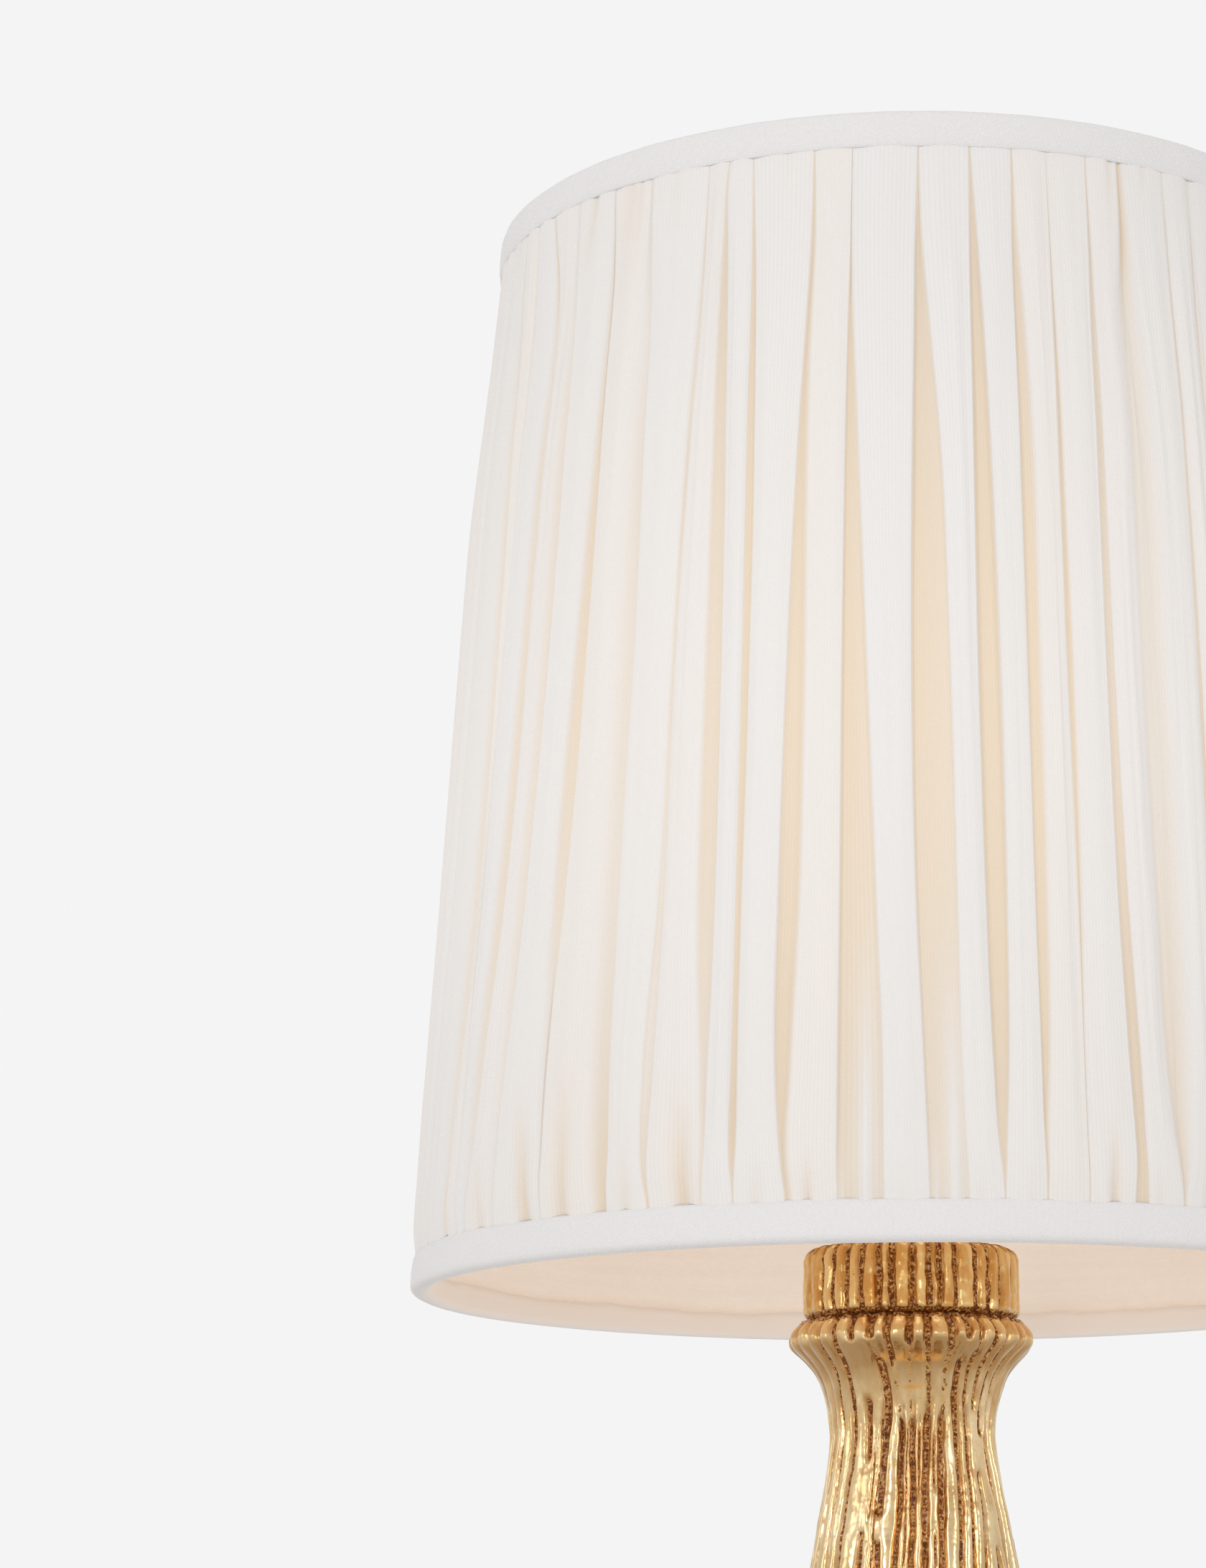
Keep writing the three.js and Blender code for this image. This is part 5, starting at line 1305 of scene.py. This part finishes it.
def addPosts(piece, settings):
    shape = bmesh.new()
    shape.from_mesh(piece.data)
    circle, radius = settings["postCircle"], settings["postRadius"]
    tall = settings["postTo"] - settings["postFrom"]
    middle = 0.5 * (settings["postTo"] + settings["postFrom"])
    reach = settings["hollow"][0][0] - circle + settings["ribBite"]
    size = Matrix.Diagonal((reach * mm, settings["ribWidth"] * mm, tall * mm, 1.0))
    for angle in settings["postAngles"]:
        turn = Matrix.Rotation(math.radians(angle), 4, "Z")
        post = turn @ Matrix.Translation((circle * mm, 0, middle * mm))
        bmesh.ops.create_cone(
            shape, cap_ends=True, segments=settings["postSides"], radius1=radius * mm,
            radius2=settings["postTaper"] * radius * mm, depth=tall * mm, matrix=post,
        )
        rib = turn @ Matrix.Translation(((circle + 0.5 * reach) * mm, 0, middle * mm))
        bmesh.ops.create_cube(shape, size=1.0, matrix=rib @ size)
    shape.to_mesh(piece.data)
    shape.free()


def buildFoot(settings):
    rng = np.random.default_rng(settings["seed"])
    height = np.array(settings["rows"])
    places, outline = np.array(settings["outline"], float).T
    radius = softCurve(places, outline, height, settings["outlineBlur"])
    fading = 1 - smoothstep(height, *settings["fading"])
    amount, turns = settings["sway"]
    number = settings["reeds"]
    tracks = []
    for k in range(number):
        part = (k + amount * math.sin(2 * math.pi * turns * k / number)) / number
        path = np.full(len(height), 90 + 360 * part) + softNoise(rng, height, 6.0) * 0.25
        width = rng.uniform(*settings["grooveWidths"])
        tracks.append((path, width, fading * (1 - 0.2 * np.abs(softNoise(rng, height, 4.0)))))
    piece = castReeded("reededFoot", "foot_casting", rng, tracks, height, radius, settings, openWindow)
    addPosts(piece, settings)
    return piece


finialSettings = {
    "seed": 34,
    "base": 416.7,  # mm above the table
    # height and radius of the neck, mm
    "neck": (
        (0.0, 5.4), (0.25, 5.6), (1.4, 5.6), (1.7, 5.5), (2.3, 4.75), (2.9, 4.5), (5.0, 4.4), (6.6, 4.4),
        (7.8, 4.5),
    ),
    "ballCentre": 14.38,
    "ballRadius": 7.5,
    "ballAngles": (0.66, math.pi - 0.04, 26),  # from the bottom of the ball to its top, and its rows
    "hollow": ((3.4, 0.0), (3.4, 9.0), (0.02, 9.0), (0.02, 21.87)),
    "columns": 96,
    "dents": ((4.0, 3.2, 0.1), (1.8, 1.7, 0.06)),
    "crevices": ((8.1, 0.45), (2.7, 0.35)),  # height and half width of what stays dark
}


def buildFinial(settings):
    rng = np.random.default_rng(settings["seed"])
    base, ball = settings["base"], settings["ballRadius"]
    turns = np.linspace(*settings["ballAngles"])
    neck = np.array(settings["neck"])
    height = np.concatenate([neck[:, 0], settings["ballCentre"] - ball * np.cos(turns)])
    radius = np.concatenate([neck[:, 1], ball * np.sin(turns)])
    theta = np.linspace(-math.pi, math.pi, settings["columns"], endpoint=False)[None, :]
    shape = (len(height), settings["columns"])
    calm = np.minimum(radius / ball, 1.0)[:, None]
    surface = radius[:, None] + calm * hammered(rng, shape, height, radius, settings["dents"])
    crevice = sum(bell(height, middle, half) for middle, half in settings["crevices"])
    masks = {"groove": np.broadcast_to(0.8 * crevice[:, None], shape)}
    hollow = [(inner, base + at) for inner, at in settings["hollow"]]
    return castPiece("finialKnob", "finial_knob", "finial", theta, surface, height + base, masks, hollow)


castings = (
    buildColumn(columnSettings), buildCollar(collarSettings), buildFoot(footSettings),
    buildFinial(finialSettings),
)
print("gilt castings", sum(len(piece.data.polygons) for piece in castings), "faces")

studio = {
    "background": linear(244, 244, 244),
    "floor": linear(232, 231, 229),
    "floorRadius": 2.6,  # metres
    "floorSides": 96,
    "ambient": 0.74,
    # name, place, size, power and colour
    "lamps": (
        ("keyLamp", (-0.9, -1.5, 0.95), 0.45, 6.0, (1.0, 0.985, 0.97)),
        ("frontLamp", (-0.25, -1.7, 0.16), 0.26, 1.8, (1.0, 0.985, 0.97)),
        ("leftLamp", (-1.7, -0.3, 0.6), 0.7, 1.9, (1.0, 0.985, 0.97)),
        ("fillLamp", (1.3, -1.2, 0.6), 0.6, 4.0, (1.0, 0.975, 0.95)),
        ("backLamp", (0.3, 1.6, 1.1), 0.8, 7.0, (1.0, 0.99, 0.98)),
        ("topLamp", (0.0, -0.1, 1.7), 0.9, 1.2, (1.0, 1.0, 1.0)),
    ),
    "aim": (0.0, 0.0, 0.24),
}


def buildWorld(settings):
    # camera, gloss and glass see the background, and only the soft light falls on the object
    world = bpy.data.worlds.new("studioWorld")
    bpy.context.scene.world = world
    world.use_nodes = True
    tree = world.node_tree
    tree.nodes.clear()
    path = addNode(tree, "ShaderNodeLightPath").outputs
    seen = calc(tree, "MAXIMUM", path["Is Camera Ray"], path["Is Glossy Ray"])
    seen = calc(tree, "MAXIMUM", seen, path["Is Transmission Ray"])
    mix = addNode(tree, "ShaderNodeMixShader")
    feed(tree, mix.inputs[0], seen)
    white = (1.0, 1.0, 1.0)
    for slot, color, strength in ((1, white, settings["ambient"]), (2, settings["background"], 1.0)):
        light = addNode(tree, "ShaderNodeBackground")
        feed(tree, light.inputs["Color"], color)
        feed(tree, light.inputs["Strength"], strength)
        feed(tree, mix.inputs[slot], light.outputs[0])
    feed(tree, addNode(tree, "ShaderNodeOutputWorld").inputs[0], mix.outputs[0])


def buildFloor(settings):
    mesh = bpy.data.meshes.new("studioFloor")
    sides = settings["floorSides"]
    turns = np.linspace(0, 2 * math.pi, sides, endpoint=False)
    mesh.from_pydata(roundAxis(settings["floorRadius"], turns, 0.0).tolist(), [], [list(range(sides))])
    floor = bpy.data.objects.new("studioFloor", mesh)
    bpy.context.scene.collection.objects.link(floor)
    material, tree, surface = newMaterial("studioFloor", Roughness=0.8, Specular_IOR_Level=0.1)
    tone = noise(tree, position(tree), 3.0)
    feed(tree, surface["Base Color"], blendColor(tree, tone, settings["floor"], settings["background"]))
    mesh.materials.append(material)


def addLamps(settings):
    for name, place, size, power, color in settings["lamps"]:
        lamp = bpy.data.lights.new(name, "AREA")
        lamp.shape = "DISK"
        lamp.size = size
        lamp.energy = power
        lamp.color = color
        holder = bpy.data.objects.new(name, lamp)
        bpy.context.scene.collection.objects.link(holder)
        holder.location = place
        aim = Vector(settings["aim"]) - Vector(place)
        holder.rotation_euler = aim.to_track_quat("-Z", "Y").to_euler()


buildWorld(studio)
buildFloor(studio)
addLamps(studio)
print("studio set")
